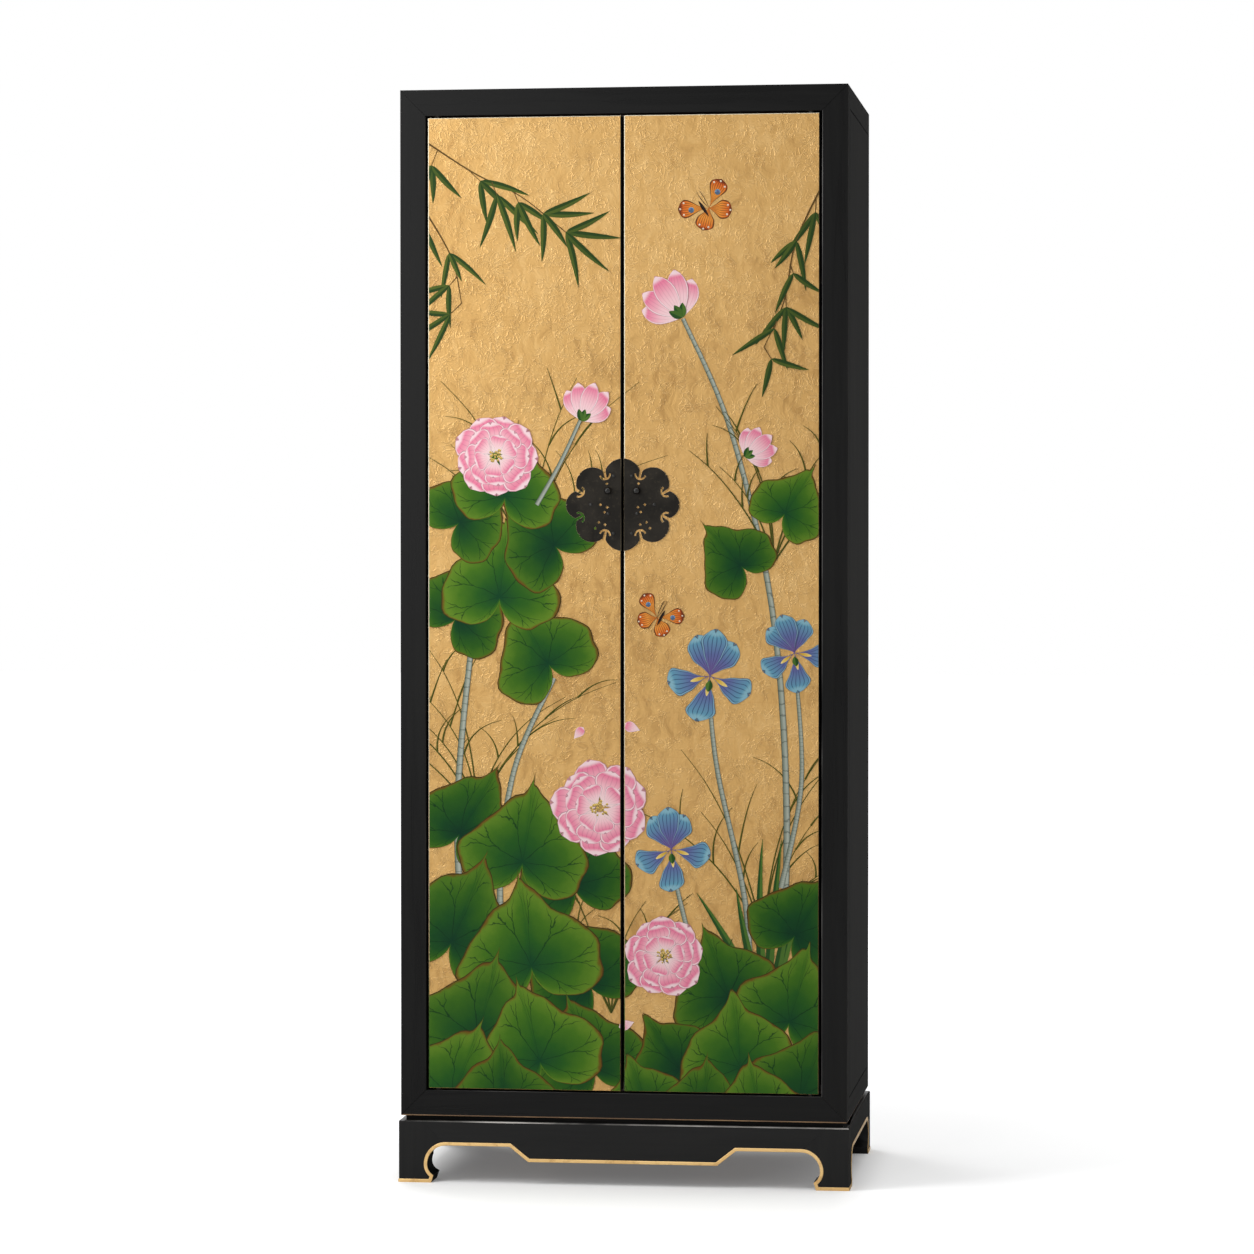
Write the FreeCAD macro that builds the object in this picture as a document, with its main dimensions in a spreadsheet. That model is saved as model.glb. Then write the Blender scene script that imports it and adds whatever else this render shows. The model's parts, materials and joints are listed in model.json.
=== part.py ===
"""Chinese lacquer wardrobe: a flush mitred frame on a hoof-footed stand, with two pivoting doors.

The frame is millimetres, +Z up, +X to the right of someone facing the doors and the doors at -Y.
The origin is on the floor, under the middle of the cabinet's plan.
"""

import FreeCAD, Part
import math
import os
import re

import Sketcher
from FreeCAD import Rotation, Vector

doc = FreeCAD.newDocument("lacquer_wardrobe")
sheet = doc.addObject("Spreadsheet::Sheet", "sizes")

# Driving dimensions in millimetres (angles in degrees), one per row of the sheet
SIZES = (
    # Overall
    ("total_height", 1900),
    ("carcass_width", 780),
    ("carcass_depth", 490),
    # Frame of posts and rails, and the boards that fill it
    ("member", 45),
    ("panel_thickness", 18),
    ("lip_thickness", 8),
    ("lip_lap", 5),
    ("panel_seam", 0.8),
    ("muntin_width", 60),
    ("board_thickness", 18),
    ("board_clearance", 0.2),
    # Stand
    ("stand_height", 108),
    ("stand_overhang", 3),
    ("waist_height", 8),
    ("waist_setback", 8),
    ("waist_width", 30),
    ("apron_thickness", 24),
    ("apron_drop", 26),
    ("arch_height", 65),
    ("arch_radius", 33),
    ("ankle_width", 50),
    ("leg_core", 52),
    ("toe_radius", 22),
    ("toe_sweep", 60),
    ("foot_width", 57),
    ("step_start", 195),
    ("step_run", 33),
    ("bead_width", 6),
    ("bead_proud", 1.2),
    ("bearer_width", 60),
    ("bearer_spacing", 300),
    ("block_length", 60),
    ("tenon_length", 40),
    ("tenon_thickness", 8),
    ("tenon_depth", 22),
    ("tenon_inset", 17.5),
    # Doors
    ("door_thickness", 22),
    ("door_recess", 2),
    ("door_gap", 4),
    ("meeting_gap", 5),
    ("door_edge_round", 1.5),
    ("batten_width", 60),
    ("batten_height", 14),
    ("batten_depth", 8),
    ("batten_flare", 4),
    ("batten_margin", 34),
    ("batten_inset", 170),
    ("batten_drop", 174),
    # Door pivots
    ("pivot_inset", 16),
    ("pivot_radius", 5),
    ("pivot_embed", 40),
    ("pivot_bearing", 12),
    ("pivot_clearance", 0.05),
    ("bush_radius", 9),
    ("bush_floor", 3),
    ("running_gap", 0.3),
    ("swing_room", 21),
    # Lock plate and knobs
    ("plate_height", 1180),
    ("plate_half_width", 99),
    ("plate_half_height", 80),
    ("plate_thickness", 2),
    ("curl_radius", 9),
    ("curl_width", 3),
    ("curl_span", 82),
    ("pierced_radius", 2.6),
    ("knob_reach", 25),
    ("knob_rise", 24),
    ("knob_radius", 6.5),
    ("knob_projection", 13),
    ("shank_radius", 3),
    ("shank_clearance", 0.05),
    ("shank_end", 2),
    ("nut_radius", 8),
    ("nut_height", 6),
    ("stud_radius", 3),
    ("stud_height", 1.6),
    ("nail_width", 2),
    ("nail_length", 12),
    # Door stop and catches
    ("stop_height", 16),
    ("stop_width", 20),
    ("catch_length", 46),
    ("catch_height", 14),
    ("catch_offset", 60),
    ("strike_length", 34),
    ("strike_height", 12),
    ("strike_thickness", 1.5),
    # Fittings inside
    ("hat_space", 277),
    ("shelf_setback", 50),
    ("cleat_size", 20),
    ("rail_drop", 70),
    ("rail_radius", 12.5),
    ("rail_clearance", 0.3),
    ("socket_radius", 22),
    ("socket_depth", 20),
    ("socket_floor", 5),
)

for row, (alias, value) in enumerate(SIZES, start=1):
    sheet.set(f"A{row}", str(value))
    sheet.setAlias(f"A{row}", alias)
doc.recompute()

ALIASES = {alias for alias, _ in SIZES}
# Heights and faces that several pieces share, as expressions on the sheet
SHARED = {
    "frame_bottom": "(stand_height + waist_height)",
    "side_x": "(carcass_width / 2)",
    "front_y": "(-carcass_depth / 2)",
    "back_y": "(carcass_depth / 2)",
    "stand_x": "(carcass_width / 2 + stand_overhang)",
    "stand_y": "(carcass_depth / 2 + stand_overhang)",
    "door_front_y": "(-carcass_depth / 2 + door_recess)",
    "door_back_y": "(-carcass_depth / 2 + door_recess + door_thickness)",
    "door_bottom": "(stand_height + waist_height + member + door_gap)",
    "door_height": "(total_height - stand_height - waist_height - 2 * member - 2 * door_gap)",
    "door_width": "((carcass_width - 2 * member - 2 * door_gap - meeting_gap) / 2)",
    "hinge_edge_x": "(-carcass_width / 2 + member + door_gap)",
    "pivot_x": "(-carcass_width / 2 + member + door_gap + pivot_inset)",
    "pivot_y": "(-carcass_depth / 2 + door_recess + door_thickness / 2)",
    "inner_y": "(carcass_depth / 2 - panel_thickness)",
    "inner_x": "(carcass_width / 2 - panel_thickness)",
    "stop_y": "(-carcass_depth / 2 + door_recess + door_thickness + running_gap)",
    "shelf_height": "(total_height - member - hat_space - board_thickness)",
    "rail_height": "(total_height - member - hat_space - board_thickness - rail_drop)",
}


def expression(text):
    """A formula in plain size names, as the sheet's own expression."""
    spread = re.sub(r"[a-z_]+", lambda m: SHARED.get(m[0], m[0]), str(text))
    return re.sub(r"[a-z_]+", lambda m: f"sizes.{m[0]}" if m[0] in ALIASES else m[0], spread)


probe = doc.addObject("App::FeaturePython", "probe")
probe.addProperty("App::PropertyFloat", "reading")


def size(text):
    """The value of a formula in plain size names."""
    probe.setExpression("reading", expression(text))
    probe.recompute()
    return probe.reading


def bind(thing, **formulas):
    """Ties properties of a document object to formulas in size names."""
    for name, text in formulas.items():
        thing.setExpression(name, expression(text))
    return thing


def place(thing, x, y, z):
    """Ties the place of a document object to formulas in size names."""
    for axis, text in zip("xyz", (x, y, z)):
        thing.setExpression(f"Placement.Base.{axis}", expression(text))
    return thing


def box(name, x, y, z):
    """A board between two formulas along each axis."""
    thing = doc.addObject("Part::Box", name)
    spans = [f"({high}) - ({low})" for low, high in (x, y, z)]
    bind(thing, Length=spans[0], Width=spans[1], Height=spans[2])
    return place(thing, x[0], y[0], z[0])


def upright(name, x, y, low, high, radius):
    """A round bar along Z between two heights."""
    thing = doc.addObject("Part::Cylinder", name)
    bind(thing, Radius=radius, Height=f"({high}) - ({low})")
    return place(thing, x, y, low)


def crossbar(name, low, high, y, z, radius):
    """A round bar along X between two formulas."""
    thing = doc.addObject("Part::Cylinder", name)
    bind(thing, Radius=radius, Height=f"({high}) - ({low})")
    thing.Placement.Rotation = Rotation(Vector(0, 1, 0), 90)
    return place(thing, low, y, z)


def borebar(name, x, low, high, z, radius):
    """A round bar along Y between two formulas."""
    thing = doc.addObject("Part::Cylinder", name)
    bind(thing, Radius=radius, Height=f"({high}) - ({low})")
    thing.Placement.Rotation = Rotation(Vector(1, 0, 0), -90)
    return place(thing, x, low, z)


def fuse(name, *things):
    joined = doc.addObject("Part::MultiFuse", name)
    joined.Shapes = list(things)
    return joined


def common(name, *things):
    shared = doc.addObject("Part::MultiCommon", name)
    shared.Shapes = list(things)
    return shared


def cut(name, base, *tools):
    cutter = tools[0] if len(tools) == 1 else fuse(f"{name}_cutter", *tools)
    result = doc.addObject("Part::Cut", name)
    result.Base = base
    result.Tool = cutter
    return result


def group(name, *things):
    """Separate solids that share one node."""
    together = doc.addObject("Part::Compound", name)
    together.Links = list(things)
    return together


def mirror(name, source, normal):
    """The other hand of a piece, across a plane through the origin."""
    other = doc.addObject("Part::Mirroring", name)
    other.Source = source
    other.Normal = normal
    return other


ACROSS = Vector(1, 0, 0)
THROUGH = Vector(0, 1, 0)
MIDDLE = "0"
nodes = {}


def node(label, thing):
    """Names a finished sub-part."""
    thing.Label = label
    nodes[label] = thing
    return thing


def pair(left_label, right_label, left_thing):
    """A left piece and its mirror image."""
    node(left_label, left_thing)
    return node(right_label, mirror(f"{right_label}_mirror", left_thing, ACROSS))


# Frame: posts and rails of one square section, whose ends meet in three-way mitres

def mitred_member(name, inward_b, inward_c, corner, length):
    """A square bar whose ends are cut at 45 degrees on both outer faces, so three meet in a corner.

    inward_b and inward_c point from the bar's outer edge into the cabinet, and corner is the
    bar's outer corner at the end that it runs away from.
    """
    along = inward_b.cross(inward_c)
    turn = Rotation(along, inward_b, inward_c, "XYZ")
    halves = []
    for suffix, spin, low_z, high_z in (("b", 0, "0", "member"), ("c", 90, "-member", "0")):
        wedge = doc.addObject("Part::Wedge", f"{name}_{suffix}")
        bind(wedge, Xmin="0", Xmax=length, X2min="member", X2max=f"{length} - member")
        bind(wedge, Ymin="0", Ymax="member")
        bind(wedge, Zmin=low_z, Zmax=high_z, Z2min=low_z, Z2max=high_z)
        wedge.Placement.Rotation = turn.multiply(Rotation(Vector(1, 0, 0), spin))
        halves.append(place(wedge, *corner))
    return common(name, *halves)


EAST, WEST = Vector(1, 0, 0), Vector(-1, 0, 0)
NORTH, SOUTH = Vector(0, 1, 0), Vector(0, -1, 0)
UP, DOWN = Vector(0, 0, 1), Vector(0, 0, -1)
FRAME_HEIGHT = "(total_height - frame_bottom)"
INSIDE_X = ("-side_x + member", "side_x - member")
INSIDE_Y = ("front_y + member", "back_y - member")
INSIDE_Z = ("frame_bottom + member", "total_height - member")


def lapped(span):
    """An opening's span, grown by the lap of a panel's lip on each side."""
    return (f"{span[0]} - lip_lap", f"{span[1]} + lip_lap")


def seamed(span):
    """A rebate's span, less the seam that shows round a panel."""
    return (f"{span[0]} + panel_seam", f"{span[1]} - panel_seam")


LEFT_LIP = ("-side_x", "-side_x + lip_thickness")
TOP_LIP = ("total_height - lip_thickness", "total_height")
BACK_LIP = ("back_y - lip_thickness", "back_y")
LEFT_BACK_X = (INSIDE_X[0], "-muntin_width / 2")

left_rebate = box("left_rebate", LEFT_LIP, lapped(INSIDE_Y), lapped(INSIDE_Z))
right_rebate = mirror("right_rebate", left_rebate, ACROSS)
top_rebate = box("top_rebate", lapped(INSIDE_X), lapped(INSIDE_Y), TOP_LIP)
back_left_rebate = box("back_left_rebate", lapped(LEFT_BACK_X), BACK_LIP, lapped(INSIDE_Z))
back_right_rebate = mirror("back_right_rebate", back_left_rebate, ACROSS)

# Sockets in the front rails for the door pivots' bushes
bush_reach = "(pivot_bearing + bush_floor)"
low_left_socket = upright(
    "low_left_socket", "pivot_x", "pivot_y", f"{INSIDE_Z[0]} - {bush_reach}", INSIDE_Z[0], "bush_radius"
)
high_left_socket = upright(
    "high_left_socket", "pivot_x", "pivot_y", INSIDE_Z[1], f"{INSIDE_Z[1]} + {bush_reach}", "bush_radius"
)
low_right_socket = mirror("low_right_socket", low_left_socket, ACROSS)
high_right_socket = mirror("high_right_socket", high_left_socket, ACROSS)

# Loose tenons that locate the frame on its stand, through the waist

tenon_x = "(-stand_x + tenon_inset)"
tenon_y = "(back_y - member - block_length)"
back_left_tenon = box(
    "back_left_tenon",
    (f"{tenon_x} - tenon_thickness / 2", f"{tenon_x} + tenon_thickness / 2"),
    (f"{tenon_y} - tenon_length / 2", f"{tenon_y} + tenon_length / 2"),
    ("stand_height - tenon_depth", "frame_bottom + tenon_depth"),
)
front_left_tenon = mirror("front_left_tenon", back_left_tenon, THROUGH)
left_tenons = fuse("left_tenons", back_left_tenon, front_left_tenon)

front_left_blank = mitred_member(
    "front_left_blank", EAST, NORTH, ("-side_x", "front_y", "frame_bottom"), FRAME_HEIGHT
)
pair("front_left_post", "front_right_post", cut("front_left_cut", front_left_blank, left_rebate))

back_left_blank = mirror("back_left_blank", front_left_blank, THROUGH)
back_left_cut = cut("back_left_cut", back_left_blank, left_rebate, back_left_rebate)
pair("back_left_post", "back_right_post", back_left_cut)

top_left_blank = mitred_member(
    "top_left_blank", DOWN, EAST, ("-side_x", "back_y", "total_height"), "carcass_depth"
)
pair("top_left_rail", "top_right_rail", cut("top_left_cut", top_left_blank, left_rebate, top_rebate))

bottom_left_blank = mitred_member(
    "bottom_left_blank", UP, EAST, ("-side_x", "front_y", "frame_bottom"), "carcass_depth"
)
bottom_left_cut = cut("bottom_left_cut", bottom_left_blank, left_rebate, left_tenons)
pair("bottom_left_rail", "bottom_right_rail", bottom_left_cut)

top_front_blank = mitred_member(
    "top_front_blank", DOWN, NORTH, ("-side_x", "front_y", "total_height"), "carcass_width"
)
node(
    "top_front_rail",
    cut("top_front_cut", top_front_blank, top_rebate, high_left_socket, high_right_socket),
)
bottom_front_blank = mitred_member(
    "bottom_front_blank", UP, NORTH, ("side_x", "front_y", "frame_bottom"), "carcass_width"
)
node("bottom_front_rail", cut("bottom_front_cut", bottom_front_blank, low_left_socket, low_right_socket))
top_back_blank = mirror("top_back_blank", top_front_blank, THROUGH)
node(
    "top_back_rail",
    cut("top_back_cut", top_back_blank, top_rebate, back_left_rebate, back_right_rebate),
)
bottom_back_blank = mirror("bottom_back_blank", bottom_front_blank, THROUGH)
node("bottom_back_rail", cut("bottom_back_cut", bottom_back_blank, back_left_rebate, back_right_rebate))

# Panels: a board that fills the frame's opening, with a lip that lies flush in a rebate

left_lip = box("left_lip", LEFT_LIP, seamed(lapped(INSIDE_Y)), seamed(lapped(INSIDE_Z)))
left_board = box("left_board", ("-side_x + lip_thickness", "-inner_x"), INSIDE_Y, INSIDE_Z)
left_panel = fuse("left_panel", left_lip, left_board)

top_lip = box("top_lip", seamed(lapped(INSIDE_X)), seamed(lapped(INSIDE_Y)), TOP_LIP)
top_board = box(
    "top_board", INSIDE_X, INSIDE_Y, ("total_height - panel_thickness", "total_height - lip_thickness")
)
node("top_panel", fuse("top_panel_board", top_lip, top_board))

back_left_lip = box("back_left_lip", seamed(lapped(LEFT_BACK_X)), BACK_LIP, seamed(lapped(INSIDE_Z)))
back_left_board = box("back_left_board", LEFT_BACK_X, ("inner_y", "back_y - lip_thickness"), INSIDE_Z)
pair("back_left_panel", "back_right_panel", fuse("back_left_fill", back_left_lip, back_left_board))

muntin_blank = box("muntin_blank", ("-muntin_width / 2", "muntin_width / 2"), ("inner_y", "back_y"), INSIDE_Z)
node("back_muntin", cut("back_muntin_cut", muntin_blank, back_left_rebate, back_right_rebate))

# Floor board: lies on the bottom rails, notched round the posts, and stops the doors

FLOOR_Z = (INSIDE_Z[0], f"{INSIDE_Z[0]} + board_thickness")
floor_blank = box("floor_blank", ("-inner_x", "inner_x"), ("stop_y", "inner_y"), FLOOR_Z)


def post_notch(name, y_span, z_span):
    """The room that a board leaves for the left post at one end of the cabinet."""
    return box(name, ("-side_x", f"{INSIDE_X[0]} + board_clearance"), y_span, z_span)


front_notch = post_notch("front_notch", ("front_y", f"{INSIDE_Y[0]} + board_clearance"), FLOOR_Z)
back_notch = post_notch("back_notch", (f"{INSIDE_Y[1]} - board_clearance", "back_y"), FLOOR_Z)
swing_notch = post_notch("swing_notch", ("front_y", "pivot_y + swing_room"), FLOOR_Z)
bind(swing_notch, Length="pivot_x + swing_room + side_x")
floor_notches = fuse("floor_notches", front_notch, back_notch, swing_notch)
node(
    "floor_board",
    cut("floor_cut", floor_blank, floor_notches, mirror("floor_notches_right", floor_notches, ACROSS)),
)

# Hat shelf on two cleats that are glued to the side panels

SHELF_Z = ("shelf_height", "shelf_height + board_thickness")
shelf_blank = box("shelf_blank", ("-inner_x", "inner_x"), ("front_y + shelf_setback", "inner_y"), SHELF_Z)
shelf_notch = post_notch("shelf_notch", (f"{INSIDE_Y[1]} - board_clearance", "back_y"), SHELF_Z)
node(
    "hat_shelf",
    cut("shelf_cut", shelf_blank, shelf_notch, mirror("shelf_notch_right", shelf_notch, ACROSS)),
)
left_cleat = box(
    "left_cleat",
    ("-inner_x", "-inner_x + cleat_size"),
    ("front_y + member + cleat_size", f"{INSIDE_Y[1]} - cleat_size"),
    ("shelf_height - cleat_size", "shelf_height"),
)
node("shelf_cleats", group("both_cleats", left_cleat, mirror("right_cleat", left_cleat, ACROSS)))

# Hanging rail in two cup sockets on the side panels

SOCKET_X = ("-inner_x", "-inner_x + socket_floor + socket_depth")
socket_cup = crossbar("socket_cup", *SOCKET_X, MIDDLE, "rail_height", "socket_radius")
SOCKET_BORE_X = ("-inner_x + socket_floor", SOCKET_X[1])
socket_bore = crossbar("socket_bore", *SOCKET_BORE_X, MIDDLE, "rail_height", "rail_radius + rail_clearance")
left_socket = cut("left_socket", socket_cup, socket_bore)
node("rail_sockets", group("both_sockets", left_socket, mirror("right_socket", left_socket, ACROSS)))
rail_end = "(inner_x - socket_floor - running_gap)"
node("hanging_rail", crossbar("hanging_bar", f"-{rail_end}", rail_end, MIDDLE, "rail_height", "rail_radius"))

# Left door: a flush board on dovetailed battens, turning on a pin at its top and foot

DOOR_Y = ("door_front_y", "door_back_y")
DOOR_Z = ("door_bottom", "door_bottom + door_height")
free_edge_x = "(-meeting_gap / 2)"
knob_x = "(-knob_reach)"
knob_z = "(plate_height + knob_rise)"


def sketch_on(body, role, name):
    """A sketch on one of a body's own origin planes."""
    sketch = body.newObject("Sketcher::SketchObject", name)
    plane = next(p for p in body.Origin.OriginFeatures if p.Role == role)
    sketch.AttachmentSupport = [(plane, "")]
    sketch.MapMode = "FlatFace"
    return sketch


def outline(sketch, corners):
    """A closed outline whose corners are each tied to a formula across and up the sketch."""
    spots = [Vector(size(across), size(up), 0) for across, up in corners]
    last = len(spots) - 1
    for i, spot in enumerate(spots):
        sketch.addGeometry(Part.LineSegment(spot, spots[0 if i == last else i + 1]), False)
    for i in range(len(spots)):
        sketch.addConstraint(Sketcher.Constraint("Coincident", i, 2, 0 if i == last else i + 1, 1))
    for i, (across, up) in enumerate(corners):
        for kind, text, value in (("DistanceX", across, spots[i].x), ("DistanceY", up, spots[i].y)):
            number = sketch.addConstraint(Sketcher.Constraint(kind, -1, 1, i, 1, value))
            sketch.setExpression(f"Constraints[{number}]", expression(text))
    return sketch


def padded(name, role, corners, length):
    """A body made by padding one outline."""
    body = doc.addObject("PartDesign::Body", name)
    sketch = outline(sketch_on(body, role, f"{name}_outline"), corners)
    pad = body.newObject("PartDesign::Pad", f"{name}_pad")
    pad.Profile = sketch
    bind(pad, Length=length)
    return body


def turned(name, corners):
    """A body turned on a lathe: the outline is radius across and height up, about the body's Z axis."""
    body = doc.addObject("PartDesign::Body", name)
    sketch = outline(sketch_on(body, "XZ_Plane", f"{name}_outline"), corners)
    turning = body.newObject("PartDesign::Revolution", f"{name}_turning")
    turning.Profile = sketch
    turning.ReferenceAxis = (sketch, ["V_Axis"])
    turning.Angle = 360
    return body


door_blank = padded(
    "left_door_blank",
    "XY_Plane",
    (
        ("hinge_edge_x", "door_front_y + door_edge_round"),
        ("hinge_edge_x + door_edge_round", "door_front_y"),
        (f"{free_edge_x} - door_edge_round", "door_front_y"),
        (free_edge_x, "door_front_y + door_edge_round"),
        (free_edge_x, "door_back_y - door_edge_round"),
        (f"{free_edge_x} - door_edge_round", "door_back_y"),
        ("hinge_edge_x + door_edge_round", "door_back_y"),
        ("hinge_edge_x", "door_back_y - door_edge_round"),
    ),
    "door_height",
)
place(door_blank, MIDDLE, MIDDLE, "door_bottom")

BATTEN_X = ("hinge_edge_x + batten_margin", f"{free_edge_x} - batten_margin / 2")
BATTEN_LEVELS = (
    "(door_bottom + batten_inset)",
    "(plate_height - batten_drop)",
    "(door_bottom + door_height - batten_inset)",
)
battens = []
for number, level in enumerate(BATTEN_LEVELS, start=1):
    batten = padded(
        f"left_batten_{number}",
        "YZ_Plane",
        (
            ("door_back_y - batten_depth", "-batten_width / 2"),
            ("door_back_y", "-batten_width / 2 + batten_flare"),
            ("door_back_y + batten_height", "-batten_width / 2 + batten_flare"),
            ("door_back_y + batten_height", "batten_width / 2 - batten_flare"),
            ("door_back_y", "batten_width / 2 - batten_flare"),
            ("door_back_y - batten_depth", "batten_width / 2"),
        ),
        f"({BATTEN_X[1]}) - ({BATTEN_X[0]})",
    )
    battens.append(place(batten, BATTEN_X[0], MIDDLE, level))
left_battens = group("left_battens", *battens)

PIN_LENGTH = "(pivot_embed + door_gap + pivot_bearing - running_gap)"
low_pin = upright(
    "low_pin",
    "pivot_x",
    "pivot_y",
    f"door_bottom + pivot_embed - {PIN_LENGTH}",
    "door_bottom + pivot_embed",
    "pivot_radius",
)
high_pin = upright(
    "high_pin",
    "pivot_x",
    "pivot_y",
    f"{DOOR_Z[1]} - pivot_embed",
    f"{DOOR_Z[1]} - pivot_embed + {PIN_LENGTH}",
    "pivot_radius",
)
strike_x = "(-catch_offset)"
strike_z = f"({INSIDE_Z[1]} - stop_height - catch_height / 2)"
left_strike = box(
    "left_strike",
    (f"{strike_x} - strike_length / 2", f"{strike_x} + strike_length / 2"),
    ("door_back_y - strike_thickness", "door_back_y"),
    (f"{strike_z} - strike_height / 2", f"{strike_z} + strike_height / 2"),
)
shank_hole = borebar("shank_hole", knob_x, *DOOR_Y, knob_z, "shank_radius + shank_clearance")
pair("left_door_battens", "right_door_battens", left_battens)
pair("left_pivot_pins", "right_pivot_pins", group("left_pins", low_pin, high_pin))
pair("left_strike_plate", "right_strike_plate", left_strike)

# Pivot bushes: cups let flush into the front rails, which take the pins' ends

bush_bore = "(pivot_radius + pivot_clearance)"
BUSH_OUTLINE = (
    (MIDDLE, f"-{bush_reach}"),
    ("bush_radius", f"-{bush_reach}"),
    ("bush_radius", MIDDLE),
    (bush_bore, MIDDLE),
    (bush_bore, "-pivot_bearing"),
    (MIDDLE, "-pivot_bearing"),
)
low_bush = place(turned("low_bush", BUSH_OUTLINE), "pivot_x", "pivot_y", INSIDE_Z[0])
high_bush = turned("high_bush", BUSH_OUTLINE)
high_bush.Placement.Rotation = Rotation(Vector(1, 0, 0), 180)
place(high_bush, "pivot_x", "pivot_y", INSIDE_Z[1])
left_bushes = (low_bush, high_bush)
right_bushes = [mirror(f"right_bush_{i}", bush, ACROSS) for i, bush in enumerate(left_bushes, start=1)]
node("pivot_bushes", group("all_bushes", *left_bushes, *right_bushes))

# Door stop under the top rail, and the magnetic catches beneath it

STOP_Y = ("stop_y", "stop_y + stop_width")
node(
    "door_stop",
    box(
        "stop_strip",
        ("pivot_x + swing_room", "-pivot_x - swing_room"),
        STOP_Y,
        (f"{INSIDE_Z[1]} - stop_height", INSIDE_Z[1]),
    ),
)
left_catch = box(
    "left_catch",
    (f"{strike_x} - catch_length / 2", f"{strike_x} + catch_length / 2"),
    STOP_Y,
    (f"{INSIDE_Z[1]} - stop_height - catch_height", f"{INSIDE_Z[1]} - stop_height"),
)
node("magnetic_catches", group("both_catches", left_catch, mirror("right_catch", left_catch, ACROSS)))

# Lock plate: a cloud-lobed plate, split down the middle between the doors

# Lobes of the left half from the top down: centre across and up, as shares of the plate's half width
# and half height, and radius as a share of its half width
LOBES = (
    (0.0, 0.591, 0.33),
    (-0.53, 0.45, 0.29),
    (-0.75, 0.0, 0.25),
    (-0.53, -0.45, 0.29),
    (0.0, -0.591, 0.33),
)
# Small pierced holes, across and up from the plate's middle as shares of its half width and half height
PIERCED = (
    (-0.28, 0.455),
    (-0.39, 0.0),
    (-0.27, -0.055),
    (-0.32, -0.16),
    (-0.42, -0.38),
    (-0.31, -0.43),
    (-0.48, -0.51),
)


def on_plate(across, up):
    """A point of the plate, from shares of its half width and half height."""
    return Vector(across * size("plate_half_width"), up * size("plate_half_height"), 0)


def disc(centre, radius):
    return Part.Face(Part.Wire(Part.makeCircle(radius, centre)))


def filled(points):
    return Part.Face(Part.makePolygon([*points, points[0]]))


def scroll_cut(notch, outward, rise):
    """A pierced anchor between two lobes: a stem from where they cross, and two arms that curl outwards."""
    aside = Vector(-outward.y, outward.x, 0)
    radius, half = size("curl_radius"), size("curl_width") / 2
    foot = notch + outward * (rise - 1.3 * radius)
    mouth, flare = notch + outward * (rise + 0.6 * radius), 1.8 * half
    stem = filled([foot - aside * half, foot + aside * half, mouth + aside * flare, mouth - aside * flare])
    centre = foot + outward * radius
    span = size("curl_span")

    def around(degrees, reach):
        turn = math.radians(degrees)
        return centre - outward * (reach * math.cos(turn)) + aside * (reach * math.sin(turn))

    outer = [around(a, radius + half) for a in (-span, 0, span)]
    inner = [around(a, radius - half) for a in (span, 0, -span)]
    arms = Part.Wire(
        [
            Part.Arc(*outer).toShape(),
            Part.LineSegment(outer[2], inner[0]).toShape(),
            Part.Arc(*inner).toShape(),
            Part.LineSegment(inner[2], outer[0]).toShape(),
        ]
    )
    return [stem, Part.Face(arms)]


def plate_face():
    """The left half of the plate as seen from the front, across the doors and up."""
    reach = size("plate_half_width")
    centres = [on_plate(across, up) for across, up, _ in LOBES]
    radii = [radius * reach for _, _, radius in LOBES]
    lobes = [disc(centre, radius) for centre, radius in zip(centres, radii)]
    face = filled(centres).fuse(lobes).removeSplitter()
    split, far_side = size(free_edge_x), 2 * reach
    other_door = ((split, -far_side), (far_side, -far_side), (far_side, far_side), (split, far_side))
    cutters = [filled([Vector(x, y, 0) for x, y in other_door])]
    for a, b, near, far in zip(centres, centres[1:], radii, radii[1:]):
        line = b - a
        along = (line.Length**2 + near**2 - far**2) / (2 * line.Length)
        outward = Vector(line.y, -line.x, 0).normalize()
        cutters += scroll_cut(a + line * (along / line.Length), outward, math.sqrt(near**2 - along**2))
    for centre, radius in zip(centres[1:-1], radii[1:-1]):
        outward = Vector(centre).normalize()
        aside = Vector(-outward.y, outward.x, 0)
        apex = centre + outward * radius
        nick = size("curl_width")
        wings = [apex + (outward + aside) * nick, apex + (outward - aside) * nick]
        cutters.append(filled([apex - outward * nick * 0.6, *wings]))
    hole = size("pierced_radius")
    corners = [Vector(hole, 0, 0), Vector(0, hole, 0), Vector(-hole, 0, 0), Vector(0, -hole, 0)]
    cutters += [filled([on_plate(*spot) + corner for corner in corners]) for spot in PIERCED]
    return max(face.cut(cutters).Faces, key=lambda piece: piece.Area)


plate_blank = doc.addObject("Part::Feature", "left_plate_blank")
flat_plate = plate_face().extrude(Vector(0, 0, size("plate_thickness")))
flat_plate.rotate(Vector(0, 0, 0), Vector(1, 0, 0), 90)
plate_blank.Shape = flat_plate
place(plate_blank, MIDDLE, "door_front_y", "plate_height")

# Knobs: turned pulls whose threaded shanks go through the plate and the door to a nut

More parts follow.
